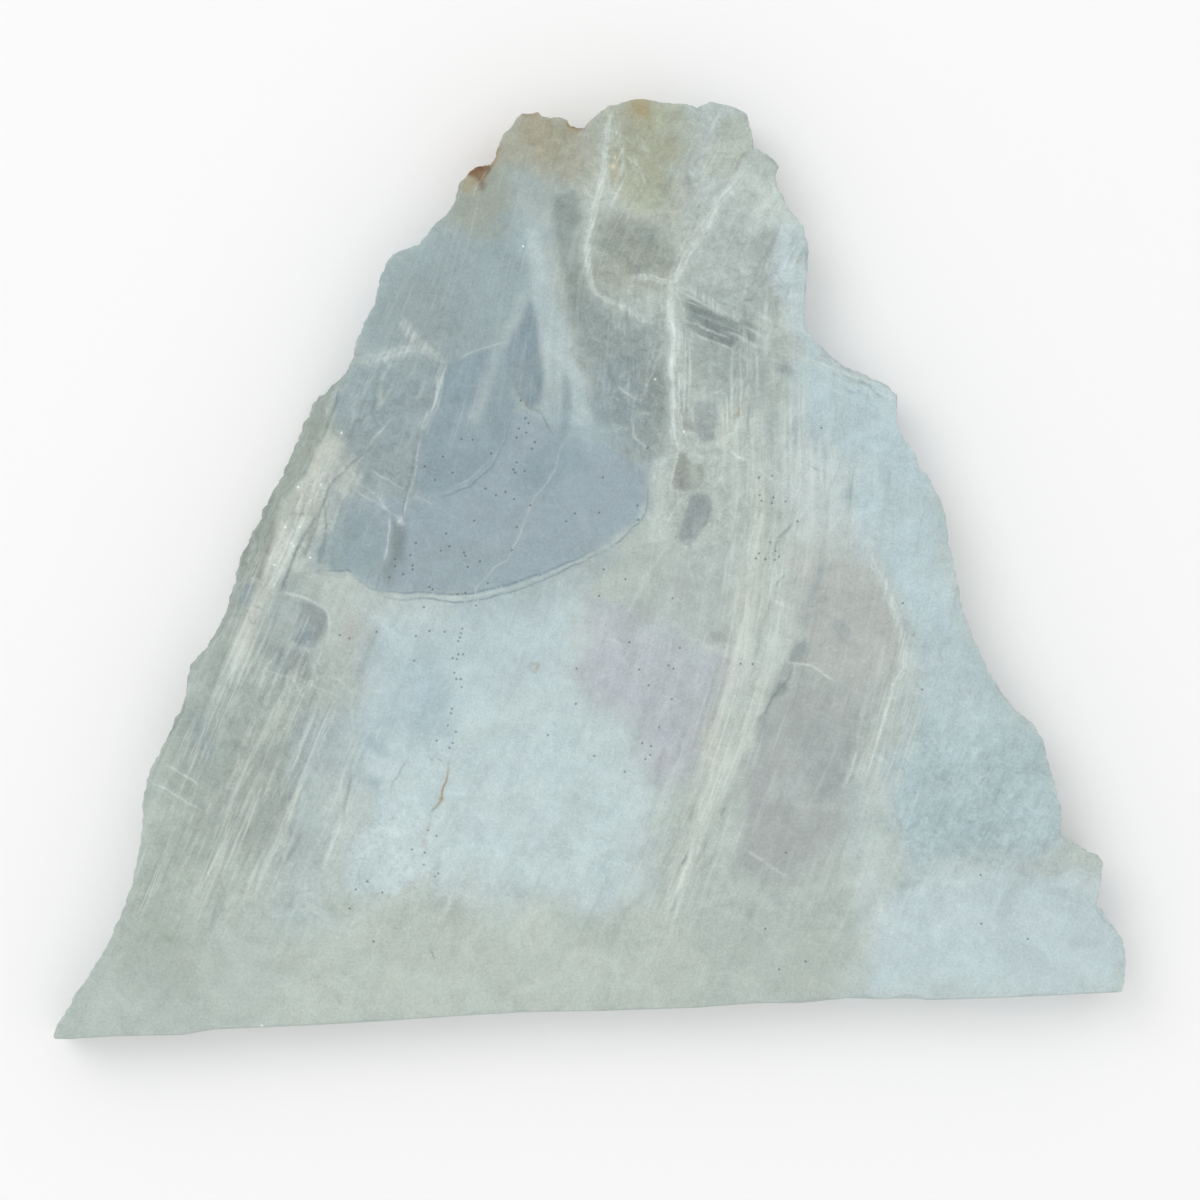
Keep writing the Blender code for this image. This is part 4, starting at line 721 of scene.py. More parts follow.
# Dark pits, as x and y.
pitPlaces = (
    -8.6, 21.1, -8, 18.9, -7.6, 18.3, -8.8, 17.6, -7.9, 17.1, -9.1, 16.5, -6.8, 15.9, -7.2, 15.1, -12.3,
    14.5, -9.1, 13.4, -9.5, 12.5, -9.3, 12.1, -8.1, 12.3, -18.3, 14.1, -17.1, 12.1, -20.6, 12.9, -19.3,
    11.2, -13, 10.1, -10.5, 9.7, -11.7, 9.3, -9.4, 8.8, -7.4, 8, -14.4, 6.1, -9.1, 5.3, -17.9, 4.5, -21.7,
    3.3, -17.5, 2.9, -18.6, 2.35, -22.4, 1.8, -15.7, 2.1, -15.5, 1.7, -24.3, 1.3, -22.1, 0.5, -22.1, 0,
    -24.3, 0.4, -23.3, -0.6, -25, -1, -15.2, 0.3, -13.7, 1, -20, -2.2, -19.6, -2.5, -16.5, -3.1, -15.5,
    -2.9, -12.7, -1.7, -9.7, 2.4, 1.8, 0, -1.8, 7, 1.2, 7.1, -2.9, 6, 1.7, 11.5, 6, 8, 6.1, 6.2, 7.3,
    15.2, -14.6, 16.2, -16, 16.3, -20.7, -4.7, -20, -7.7, -18.1, -7.8, -21.7, -8.3, -14.2, -4.5, -15.9,
    -7.4, -16.05, -8, -16.2, -8.5, -16.4, -8.95, -16.4, -10.6, -16.6, -11.2, -17.1, -11.1, -15.8, -10.6,
    -16.9, -12.9, -16.65, -13.7, -16.1, -13.7, -16, -14.7, -17.2, -17.4, -17.3, -18, -17.7, -19.5, -19.1,
    -21.4, -16.7, -20.3, -17.1, -21.7, -17.5, -22.3, -21.9, -11.4, -1.7, -16.8, -1.6, -12.4, -5.2, -20.7,
    0.6, -23.3, -31.2, -8.2, -30, -8.6, -26.6, -7.8, -19.1, -33.3, -20.2, -32.6, -22.2, -35, -20.6, -35.4,
    -20.7, -36.9, -25.9, -40.4, -30, -42.4, -18.9, -38, -19.3, -38.4, -27.8, -39, -29.2, -40, -27, -46.5,
    1.2, -3.3, 4.5, -1.2, 10.4, -3.6, 9.9, -12, 10.5, -12.4, 10.3, -16.2, 6.2, -12.5, 5, -9.1, 11.3, -9.8,
    8.7, -19.7, 6.6, -21.7, 7.7, -22.1, 7.6, -23.2, 7, -23.7, 4.4, -25.3, 7.4, -14.5, 24.6, -35.4, 22,
    -44.9, 27, -49, 23.7, -50, 48.9, -38.2, 54.8, -46.2, 49, -44.3, 39.2, -4.2, 41.6, -15, 21.2, 11.5,
    22.8, 11.7, 21.3, 9.3, 21.5, 8.6, 23, 9, 22.8, 8.3, 24.5, 8.5, 22.6, 3.4, 21.2, 2, 20.8, 1.4, 22, 1.3,
    23.3, 2.3, 23.7, 1.6, 23.2, 1.2, 29, 17.7, -35.8, 7, 20.4, -11.8, 18.9, -11.8, 26, 6)

# Painted glints: white specks of highlight, as x and y.
glintPlaces = (
    -31, 17.1, -36.4, 10.3, -33.6, 10.6, -41.2, 3.7, -40.5, 5.3, -38, 5.3, -36.2, 5.3, -37.3, 3.3, -37,
    2.9, -39.4, 0.6, -34.9, 1.5, -8.3, 40.4, 8.2, 23.8, 11.8, 17.2, -43, -57.4, -41, -57)

# Families of fine parallel fibres: tone, strength, half width, how many, mean length in mm, direction in
# degrees, spread of it, then the middle and the half length and half width of the ground they fill.
fibres = (
    ("cream", 0.4, 0.15, 46, 6.5, 68, 5, -43, -31, 15, 6),
    ("smoke", 0.3, 0.17, 34, 4.5, 68, 6, -43, -30, 15, 6),
    ("pale", 0.4, 0.15, 26, 5.0, 66, 6, -40, -14, 9, 5),
    ("smoke", 0.35, 0.16, 26, 3.2, 66, 9, -38, -12, 9, 5),
    ("white", 0.3, 0.14, 22, 3.4, 66, 12, -37, 3, 12, 2.4),
    ("shadow", 0.25, 0.13, 20, 2.6, 66, 12, -37, 3, 12, 3),
    ("cream", 0.4, 0.15, 30, 7.5, 74, 4, 18, -14, 20, 3.5),
    ("smoke", 0.25, 0.16, 26, 5.0, 74, 5, 19, -14, 20, 5),
    ("white", 0.3, 0.14, 24, 5.5, 72, 4, 14, -34, 11, 2.6),
    ("pale", 0.35, 0.15, 22, 4.5, 72, 8, 25, 8, 12, 6),
    ("smoke", 0.3, 0.16, 20, 3.5, 72, 9, 24, 6, 12, 6),
    ("pale", 0.35, 0.15, 18, 4.0, 66, 6, 23, 36, 9, 3.5),
    ("shadow", 0.22, 0.18, 14, 3.6, 66, 7, 22, 34, 9, 3.5),
    ("pale", 0.3, 0.15, 16, 4.0, 80, 8, 5, 26, 10, 4),
    ("shadow", 0.2, 0.18, 14, 3.0, 82, 8, 5, 26, 10, 4.5),
    ("veinPale", 0.35, 0.15, 18, 3.5, -24, 7, 17, 31, 6, 4),
    ("oliveDark", 0.4, 0.16, 16, 3.0, -24, 6, 16, 31, 4, 2.6),
    ("pale", 0.4, 0.14, 14, 5.0, -27, 3, 33, 24, 5, 2),
    ("slate", 0.4, 0.16, 10, 4.0, -27, 3, 33, 24, 5, 2),
    ("pale", 0.3, 0.14, 16, 3.0, -60, 20, 5, 50, 5, 5),
    ("smoke", 0.25, 0.15, 14, 2.6, 62, 14, -24, 20, 10, 5),
    ("pale", 0.25, 0.15, 14, 3.4, 64, 12, -25, 18, 10, 5),
    ("veinPale", 0.35, 0.16, 16, 5.0, 74, 6, 37, -16, 13, 2.5),
    ("smoke", 0.25, 0.2, 22, 2.4, 40, 40, 46, -24, 10, 7),
    ("pale", 0.28, 0.2, 22, 2.4, 50, 40, 46, -24, 10, 7),
    ("smoke", 0.25, 0.17, 16, 4.0, 74, 6, 28, -24, 12, 4),
    ("mauve", 0.35, 0.2, 16, 4.0, 74, 6, 27, -25, 12, 4),
    ("pale", 0.22, 0.16, 20, 4.5, 66, 14, -28, -48, 14, 5),
    ("lowGreen", 0.35, 0.25, 20, 4.0, 60, 25, 5, -49, 24, 4),
    ("flake", 0.35, 0.2, 20, 1.8, 60, 40, -24, -36, 5, 4),
    ("shadow", 0.18, 0.14, 14, 1.6, 60, 50, -25, -36, 5, 4),
    ("milk", 0.35, 0.3, 20, 5.0, 72, 10, -5, -25, 13, 8),
    ("iceBlue", 0.25, 0.3, 20, 4.0, 72, 12, -8, -22, 14, 9),
)

# Where the fibres, the web of cracks and the level cleavage show: kind, strength, softness, corners.
grounds = (
    ("fibre", 1.0, 4, (-56, -44, -46, -46, -36, -30, -32, -14, -38, 2, -46, -8, -54, -24)),
    ("fibre", 0.9, 3, (18, 22, 34, 12, 30, -6, 22, -24, 14, -42, 6, -44, 12, -26, 15, -8, 16, 8)),
    ("fibre", 0.7, 3, (14, 40, 27, 44, 27, 22, 14, 22)),
    ("fibre", 0.6, 3, (34, 2, 40, -6, 40, -22, 34, -34, 32, -24, 38, -12)),
    ("fibre", 0.25, 3, (-30, -6, 0, -4, 8, -24, 4, -42, -28, -42)),
    ("fibre", 0.1, 2, (-30, 0, -18, -3, 2, 2, 8, 10, 0, 17, -8, 20, -28, 10)),
    ("web", 1.0, 3, (-44, -9, -33, -9, -28, -15, -32, -20, -46, -20)),
    ("web", 0.8, 3, (0, 46, 12, 44, 20, 48, 26, 40, 20, 30, 12, 14, 4, 14, -2, 30)),
    ("web", 0.7, 3, (10, 20, 22, 20, 26, 6, 22, -4, 12, -2)),
    ("web", 0.6, 4, (-34, -42, 0, -44, 30, -42, 30, -52, -40, -54)),
    ("web", 0.7, 3, (-30, -31, -18, -31, -18, -42, -30, -42)),
    ("web", 0.5, 4, (38, -10, 54, -20, 58, -34, 40, -36)),
    ("web", 0.5, 3, (-6, 58, 18, 58, 18, 46, -8, 48)),
    ("mottle", 1.8, 4, (-10, 58, -6, 60, 20, 60, 28, 40, 22, 16, 16, 2, 8, 2, 8, 16, -2, 20, -2, 40)),
    ("mottle", 1.5, 3, (36, -20, 58, -22, 60, -38, 38, -38)),
    ("mottle", 1.7, 3, (-40, 26, -18, 28, -12, 20, -20, 8, -30, -2, -46, -2)),
    ("mottle", 1.3, 3, (-54, -12, -34, -10, -28, -40, -36, -44, -56, -44)),
    ("mottle", 1.3, 3, (-30, -30, -17, -30, -17, -42, -31, -42)),
    ("mottle", 0.5, 4, (-62, -48, -36, -46, 0, -45, 34, -46, 64, -40, 66, -54, -66, -60)),
    ("mottle", 0.5, 4, (-18, -6, 0, -6, 2, -18, -6, -24, -16, -22)),
    ("fibre", 0.12, 4, (-62, -48, -40, -47, 0, -46, 34, -46, 64, -41, 66, -54, -66, -60)),
    ("fibre", 0.5, 3, (38, -8, 56, -20, 58, -36, 40, -36)),
    ("strand", 0.35, 2, (-33, 17, -38, 8, -42, -4, -46, -12, -40, -12, -36, 2, -31, 16)),
    ("strand", 0.4, 3, (18, 20, 27, 20, 26, 4, 24, -6, 16, -28, 12, -28, 17, -4, 19, 6)),
    ("cross", 1.0, 2, (11, 36, 20, 32, 26, 30, 30, 27, 39, 22, 38, 19, 28, 24, 20, 26, 11, 29)),
    ("cross", 0.5, 3, (10, 4, 18, 4, 18, -12, 8, -12)),
    ("cross", 0.4, 3, (-44, 0, -34, -2, -32, -16, -46, -16)),
)

crystalLook = {
    "seed": 21,
    "drift": 0.22,              # mm that every marking wanders from its drawn place
    "drawnStep": 0.5,           # mm between points along a marking
    "dipAcross": 0.35,          # mm that the markings slip sideways for each mm of depth
    "dipAlong": -0.12,
    "pitRadius": 0.15,          # mm
    "cloudShade": 0.25,
    "fibreShade": 0.20,
    "grainShade": 0.30,
    "wispAmount": 0.30,
    "webAmount": 0.26,
    "strandAmount": 0.34,
    "coolTint": (0.965, 0.985, 0.988),
    "roughness": 0.34,
    "filmRoughness": 0.2,
    "brokenRoughness": 0.42,
    "glow": 0.12,               # share of light that scatters inside
    "glowReach": 0.0012,        # m
}


def toneColour(name):
    # Screen tones to linear light, less the light that the polished face mirrors.
    tone = np.array(tones[name]) / 255.0
    linear = np.where(tone > 0.04045, ((tone + 0.055) / 1.055) ** 2.4, tone / 12.92)
    return np.clip(1.03 * linear - 0.034, 0.004, 1.0)


def layTone(colour, near, tone, mask):
    # Moves the colour of some points toward a tone, by each point's share in the mask.
    colour[near] += (toneColour(tone) - colour[near]) * mask[:, None]


def driftField(x, y):
    # Every marking is moved by the same slow noise, so that neighbours still meet.
    reach = crystalLook["drift"]
    across = reach * softNoise(x, y, 2.1, 31) + 0.35 * reach * softNoise(x, y, 0.7, 32)
    along = reach * softNoise(x, y, 2.1, 33) + 0.35 * reach * softNoise(x, y, 0.7, 34)
    return np.stack([across, along], axis=-1)


def drawnLine(flat, closed, rounding):
    # Points at even steps along the line, its corners rounded by a running mean, then drifted.
    line = np.array(flat, float).reshape(-1, 2)
    if closed:
        line = np.concatenate([line, line[:1]])
    reach = np.concatenate([[0.0], np.cumsum(np.linalg.norm(np.diff(line, axis=0), axis=1))])
    fine = 0.125
    samples = max(4, int(reach[-1] / fine))
    place = np.linspace(0.0, reach[-1], samples + 1)
    dense = np.stack([np.interp(place, reach, line[:, axis]) for axis in range(2)], axis=1)
    half = min(int(rounding / fine), samples // 3)
    if half > 0:
        kernel = np.hanning(2 * half + 3)[1:-1]
        kernel /= kernel.sum()
        if closed:
            padded = np.concatenate([dense[-half - 1:-1], dense, dense[1:half + 1]])
        else:
            before, after = 2 * dense[0] - dense[half:0:-1], 2 * dense[-1] - dense[-2:-half - 2:-1]
            padded = np.concatenate([before, dense, after])
        dense = np.stack([np.convolve(padded[:, axis], kernel, mode="valid") for axis in range(2)], axis=1)
    steps = max(2, int(round(reach[-1] / crystalLook["drawnStep"])))
    keep = np.round(np.linspace(0, samples, steps + 1)).astype(int)
    dense = dense[keep]
    return dense + driftField(dense[:, 0], dense[:, 1])


def lineDistance(points, line):
    # Nearest distance from each point to the joined runs, and the share of the line passed there.
    start, run = line[:-1], np.diff(line, axis=0)
    square = np.maximum((run ** 2).sum(axis=1), 1e-9)
    offset = points[:, None] - start[None]
    share = np.clip((offset * run[None]).sum(axis=2) / square, 0.0, 1.0)
    gap = np.linalg.norm(offset - share[..., None] * run[None], axis=2)
    nearest = gap.argmin(axis=1)
    row = np.arange(len(points))
    return gap[row, nearest], (nearest + share[row, nearest]) / len(run)


def nearPoints(points, line, margin):
    low, high = line.min(axis=0) - margin, line.max(axis=0) + margin
    return np.flatnonzero(((points > low) & (points < high)).all(axis=1))


def insidePolygon(points, line):
    # Odd crossings of a level ray mean inside.
    start, end = line[:-1], line[1:]
    x, y = points[:, 0, None], points[:, 1, None]
    straddles = (y > start[None, :, 1]) != (y > end[None, :, 1])
    rise = end[:, 1] - start[:, 1]
    rise = np.where(np.abs(rise) < 1e-9, 1e-9, rise)
    cross = start[None, :, 0] + (y - start[None, :, 1]) * ((end[:, 0] - start[:, 0]) / rise)[None]
    return (straddles & (x < cross)).sum(axis=1) % 2 == 1


def regionMask(points, line, softness):
    # 1 inside the border and 0 outside, by a smooth step as wide as twice the softness.
    near = nearPoints(points, line, softness)
    mask = np.zeros(len(near))
    for first in range(0, len(near), 8000):
        part = points[near[first:first + 8000]]
        gap, _ = lineDistance(part, line)
        signed = np.where(insidePolygon(part, line), gap, -gap)
        step = np.clip(0.5 + 0.5 * signed / softness, 0.0, 1.0)
        mask[first:first + 8000] = step * step * (3.0 - 2.0 * step)
    return near, mask


def fibreLines():
    # Each family scatters straight, slightly bent fibres over its own turned ellipse.
    draw = np.random.default_rng(crystalLook["seed"])
    lines = []
    for tone, strength, half, count, length, turn, spread, x, y, long, wide in fibres:
        ground = math.radians(turn)
        radius, angle = np.sqrt(draw.uniform(0, 1, count)), draw.uniform(0, 2 * np.pi, count)
        along, across = long * radius * np.cos(angle), wide * radius * np.sin(angle)
        midX = x + along * math.cos(ground) - across * math.sin(ground)
        midY = y + along * math.sin(ground) + across * math.cos(ground)
        turns = np.radians(turn + spread * draw.normal(0, 0.6, count))
        lengths = length * draw.uniform(0.4, 1.5, count)
        bends = draw.uniform(-0.05, 0.05, count) * lengths
        widths = half * draw.uniform(0.75, 1.5, count)
        powers = strength * draw.uniform(0.5, 1.3, count)
        for item in range(count):
            step = np.array([math.cos(turns[item]), math.sin(turns[item])])
            side = np.array([-step[1], step[0]])
            middle = np.array([midX[item], midY[item]])
            ends = middle - step * lengths[item] / 2, middle + step * lengths[item] / 2
            flat = np.concatenate([ends[0], middle + side * bends[item], ends[1]])
            lines.append((tone, widths[item], powers[item], tuple(flat)))
    return lines


def strandLines():
    # A broad vein is a braid: thin strands that wander beside its middle line, each in its own way.
    lines = []
    for number, (tone, half, strength, count, spread, flat) in enumerate(braids):
        middle = drawnLine(flat, False, 0.9)
        along = np.gradient(middle, axis=0)
        along /= np.linalg.norm(along, axis=1, keepdims=True)
        side = np.stack([-along[:, 1], along[:, 0]], axis=1)
        place = np.arange(len(middle)) * crystalLook["drawnStep"]
        for strand in range(count):
            seed = 200 + 17 * number + strand
            lane = (strand - (count - 1) / 2) / max(1, count - 1) * 1.4
            sway = lane + 0.55 * softNoise(place, place * 0, 6.0, seed)
            sway = sway + 0.2 * softNoise(place, place * 0, 1.6, seed + 7)
            width = half * (0.7 + 0.35 * (strand % 3))
            power = strength * (0.8 + 0.2 * (strand % 2))
            lines.append((tone, width, power, middle + side * (spread * sway)[:, None]))
    return lines


def drawnItems(items, closed, rounding):
    # Each item keeps its values, and its flat list of points becomes a drawn line.
    return [(*item[:-1], drawnLine(item[-1], closed, rounding)) for item in items]


def allMarkings():
    rim = drawnLine(np.array(sawCut).ravel(), False, 0.4)
    return {
        "regions": drawnItems(regions, True, 2.0),
        "grounds": drawnItems(grounds, True, 2.0),
        "panes": drawnItems(panes, True, 0.5),
        "veins": drawnItems(veins, False, 0.9),
        "stainsAndGlints": drawnItems(stainsAndGlints, False, 0.4),
        "fibres": drawnItems(fibreLines(), False, 0.9) + strandLines(),
        # along the sawn rim, a white line of painted highlight and, just inside it, a line of painted shade
        "edges": [("white", 0.22, 0.6, rim), ("shadow", 0.12, 0.35, rim + np.array([0.0, 0.3]))],
        "bands": [(0.9, 1.15 * item[4], drawnLine(item[5], False, 0.9)) for item in braids],
    }


def besideLine(line, offsets):
    # Rows of points that follow a line at set distances to its sides.
    along = np.gradient(line, axis=0)
    along /= np.maximum(np.linalg.norm(along, axis=1, keepdims=True), 1e-9)
    side = np.stack([-along[:, 1], along[:, 0]], axis=1)
    return [line + side * offset for offset in offsets]


def markingPoints(shapes):
    # Points of the face that carry the crisp markings: pits first, then veins, fibres and pane borders.
    radius = crystalLook["pitRadius"]
    pits = pitCentres()
    turn = np.arange(6) * np.pi / 3
    ring = np.stack([np.cos(turn), np.sin(turn)], axis=1) * radius * 1.5
    glints = np.array(glintPlaces, float).reshape(-1, 2)
    dots = np.concatenate([pits, glints])
    rows = [dots, (dots[:, None] + ring[None]).reshape(-1, 2)]
    fine = [item for item in shapes["veins"] if item[1] < 0.5]
    rows += [item[3] for item in fine]
    for tone, half, strength, line in fine:
        rows += besideLine(line, (-1.6 * half, 1.6 * half))
    rows += [item[3] for item in shapes["fibres"]]
    for tone, half, strength, line in shapes["fibres"]:
        rows += besideLine(line, (-1.8 * half, 1.8 * half))
    for tone, strength, softness, line in shapes["panes"]:
        if softness <= 0.5:
            rows += besideLine(line[:-1], (-0.8 * softness, 0.8 * softness))
    points = np.concatenate(rows)
    cells = np.round(points / 0.16).astype(int)
    _, first = np.unique(cells[:, 0] * 100003 + cells[:, 1], return_index=True)
    return points[np.sort(first)]


def pitCentres():
    return np.array(pitPlaces, float).reshape(-1, 2)


def clearOf(field, points, gap):
    # Keeps the field points whose small cell, and the eight round it, hold none of the others.
    low = np.minimum(field.min(axis=0), points.min(axis=0)) - 2 * gap
    size = np.ceil((np.maximum(field.max(axis=0), points.max(axis=0)) - low) / gap).astype(int) + 3
    taken = np.zeros(size, bool)
    cells = ((points - low) / gap).astype(int)
    taken[cells[:, 0], cells[:, 1]] = True
    own = ((field - low) / gap).astype(int)
    busy = np.zeros(len(field), bool)
    for dx in (-1, 0, 1):
        for dy in (-1, 0, 1):
            busy |= taken[own[:, 0] + dx, own[:, 1] + dy]
    return field[~busy]


def insideOutline(points, rim, margin):
    # A point is inside where a line from it to the right crosses the rim an odd number of times.
    inside = np.zeros(len(points), bool)
    nearest = np.full(len(points), np.inf)
    order = np.argsort(points[:, 1])
    height = points[order, 1]
    for start, end in zip(rim, np.roll(rim, -1, axis=0)):
        lower, upper = min(start[1], end[1]), max(start[1], end[1])
        first, last = np.searchsorted(height, (lower, upper))
        some = order[first:last]
        if len(some):
            cross = start[0] + (points[some, 1] - start[1]) * (end[0] - start[0]) / (end[1] - start[1])
            inside[some] ^= points[some, 0] < cross
        first, last = np.searchsorted(height, (lower - margin, upper + margin))
        some = order[first:last]
        gap = np.hypot(*(points[some] - start).T)
        nearest[some] = np.minimum(nearest[some], gap)
    return inside & (nearest > margin)


def facePoints(rim, spacing, extra):
    # A field of points in equal triangles, kept inside the rim and clear of the marking points.
    low, high = rim.min(axis=0), rim.max(axis=0)
    rows = np.arange(low[1], high[1], spacing * 0.866)
    columns = np.arange(low[0], high[0], spacing)
    x, y = np.meshgrid(columns, rows)
    x = x + (np.arange(len(rows)) % 2 * spacing / 2)[:, None]
    field = np.stack([x.ravel(), y.ravel()], axis=1)
    if len(extra):
        extra = extra[insideOutline(extra, rim, 0.25)]
        field = clearOf(field, extra, 0.5 * spacing)
    field = field[insideOutline(field, rim, 0.45 * spacing)]
    return np.concatenate([extra, field]) if len(extra) else field


def triangulate(rim, inner):
    points = np.concatenate([rim, inner])
    ringEdges = [(index, (index + 1) % len(rim)) for index in range(len(rim))]
    found = delaunay_2d_cdt([Vector(point) for point in points.tolist()], ringEdges, [], 1, 1e-6)
    print("face points", len(points), "triangles", len(found[2]))
    return np.array(found[2])


finishKinds = ("film", "fibre", "web", "strand", "cross", "mottle")


def paintMarkings(points, shapes, blur):
    # Gives each point's colour and finish; blur widens the fine markings.
    colour = np.tile(toneColour("base"), (len(points), 1))
    finish = np.tile((0.0, 0.4, 0.2, 0.0, 0.08, 0.8), (len(points), 1))
    slow, rough = points.copy(), points.copy()
    for size, reach, seed in ((7.0, 1.5, 51), (2.6, 0.9, 53), (1.1, 0.45, 55)):
        shift = [softNoise(*points.T, size, seed), softNoise(*points.T, size, seed + 1)]
        shift = reach * np.stack(shift, axis=1)
        slow += shift
        rough += shift * (0.35 if size < 2 else 0.1)
    for tone, strength, softness, line in shapes["regions"]:
        near, mask = regionMask(slow, line, softness)
        layTone(colour, near, tone, strength * mask)
    for kind, strength, softness, line in shapes["grounds"]:
        near, mask = regionMask(slow, line, softness)
        channel = finishKinds.index(kind)
        finish[near, channel] += (strength - finish[near, channel]) * mask
    for tone, strength, softness, line in shapes["panes"]:
        near, mask = regionMask(points if softness < 0.36 else rough, line, softness + blur)
        x, y = points[near].T
        uneven = 0.86 + 0.22 * softNoise(x, y, 1.9, 91) + 0.12 * softNoise(x, y, 0.8, 92)
        mask = mask if tone in ("film", "filmDeep") else np.clip(mask * uneven, 0.0, 1.0)
        layTone(colour, near, tone, strength * mask)
        if tone in ("film", "filmDeep"):
            finish[near, 0] = np.maximum(finish[near, 0], mask)
    for strength, half, line in shapes["bands"]:
        near = nearPoints(points, line, 2.2 * half)
        gap, share = lineDistance(points[near], line)
        taper = np.clip(6 * np.minimum(share, 1 - share) + 0.2, 0.0, 1.0)
        mask = strength * np.exp(-(gap / half) ** 4) * taper
        finish[near, 3] = np.maximum(finish[near, 3], mask)
    paintLines(points, colour, [item for item in shapes["veins"] if item[1] >= 0.5], blur)
    paintLines(points, colour, shapes["fibres"], blur)
    paintLines(points, colour, [item for item in shapes["veins"] if item[1] < 0.5], blur)
    return colour, finish


def paintLines(points, colour, lines, blur):
    # Each line fades sideways as a bell, tapers at its ends and beads a little along the way.
    for tone, half, strength, line in lines:
        wide = max(half, blur)
        near = nearPoints(points, line, 2.2 * wide)
        if not len(near):
            continue
        gap, share = lineDistance(points[near], line)
        length = 0.5 * (len(line) - 1)
        taper = np.clip(0.35 + np.minimum(share, 1 - share) * length / max(0.25 * length, 0.6), 0.0, 1.0)
        beads = 0.82 + 0.3 * softNoise(*points[near].T, 1.3, 61)
        power = strength * half / wide
        mask = power * beads * taper * np.exp(-(gap / (wide * np.sqrt(taper))) ** 2)
        layTone(colour, near, tone, np.clip(mask, 0.0, 1.0))


def paintDots(points, colour, height):
    # Each pit is a dark dimple, and each glint a painted highlight, a white speck, by distance from its
    # middle.
    radius = crystalLook["pitRadius"]
    for place in pitCentres():
        near = nearPoints(points, place[None], 3 * radius)
        gap = np.linalg.norm(points[near] - place, axis=1)
        mask = np.exp(-(gap / radius) ** 4)
        layTone(colour, near, "ink", 0.72 * mask)
        height[near] -= slabForm["pitDepth"] * mask
    # painted highlights: the glints
    for place in np.array(glintPlaces, float).reshape(-1, 2):
        near = nearPoints(points, place[None], 3 * radius)
        gap = np.linalg.norm(points[near] - place, axis=1)
        layTone(colour, near, "glintHighlight", 0.95 * np.exp(-(gap / radius) ** 4))


def paintWall(points, heights, thickness, colour, broken):
    # Broken sides: painted highlights where splinters catch light, painted shade in the steps, warmer on the
    # old crest.
    whole = slice(None)
    rind = np.clip((heights / thickness - 0.2) * 3.0, 0.0, 1.0) * (points[:, 0] < -20) * (points[:, 1] > -22)
    broken = broken * (1.0 - 0.75 * rind * (points[:, 1] < 27))
    layTone(colour, whole, "rindDark", 0.85 * rind * (points[:, 1] < 27))
    lean = points[:, 0] * 0.8 + points[:, 1] * 0.6 + heights
    splinterLightShade = softNoise(lean, heights * 3.2, 1.1, 71) * 0.5
    splinterLightShade = splinterLightShade + softNoise(lean * 0.4, heights * 5.0, 1.3, 72) * 0.5
    # painted light and shade: white where the noise is high, as splinters catching light, smoke grey where it
    # is low, as shade in the steps
    light = np.clip(splinterLightShade, 0.0, 1.0) * (0.1 + 0.45 * broken)
    dark = np.clip(-splinterLightShade, 0.0, 1.0) * (0.05 + 0.4 * broken)
    layTone(colour, whole, "white", light)
    layTone(colour, whole, "smoke", dark)
    rust = np.clip((points[:, 1] - 44.0) / 8.0, 0.0, 1.0) * np.clip((4.0 - points[:, 0]) / 8.0, 0.0, 1.0)
    rust = 0.45 * rust * np.clip(0.5 + softNoise(*points.T, 3.0, 73), 0.0, 1.0) * broken
    layTone(colour, whole, "rust", rust)


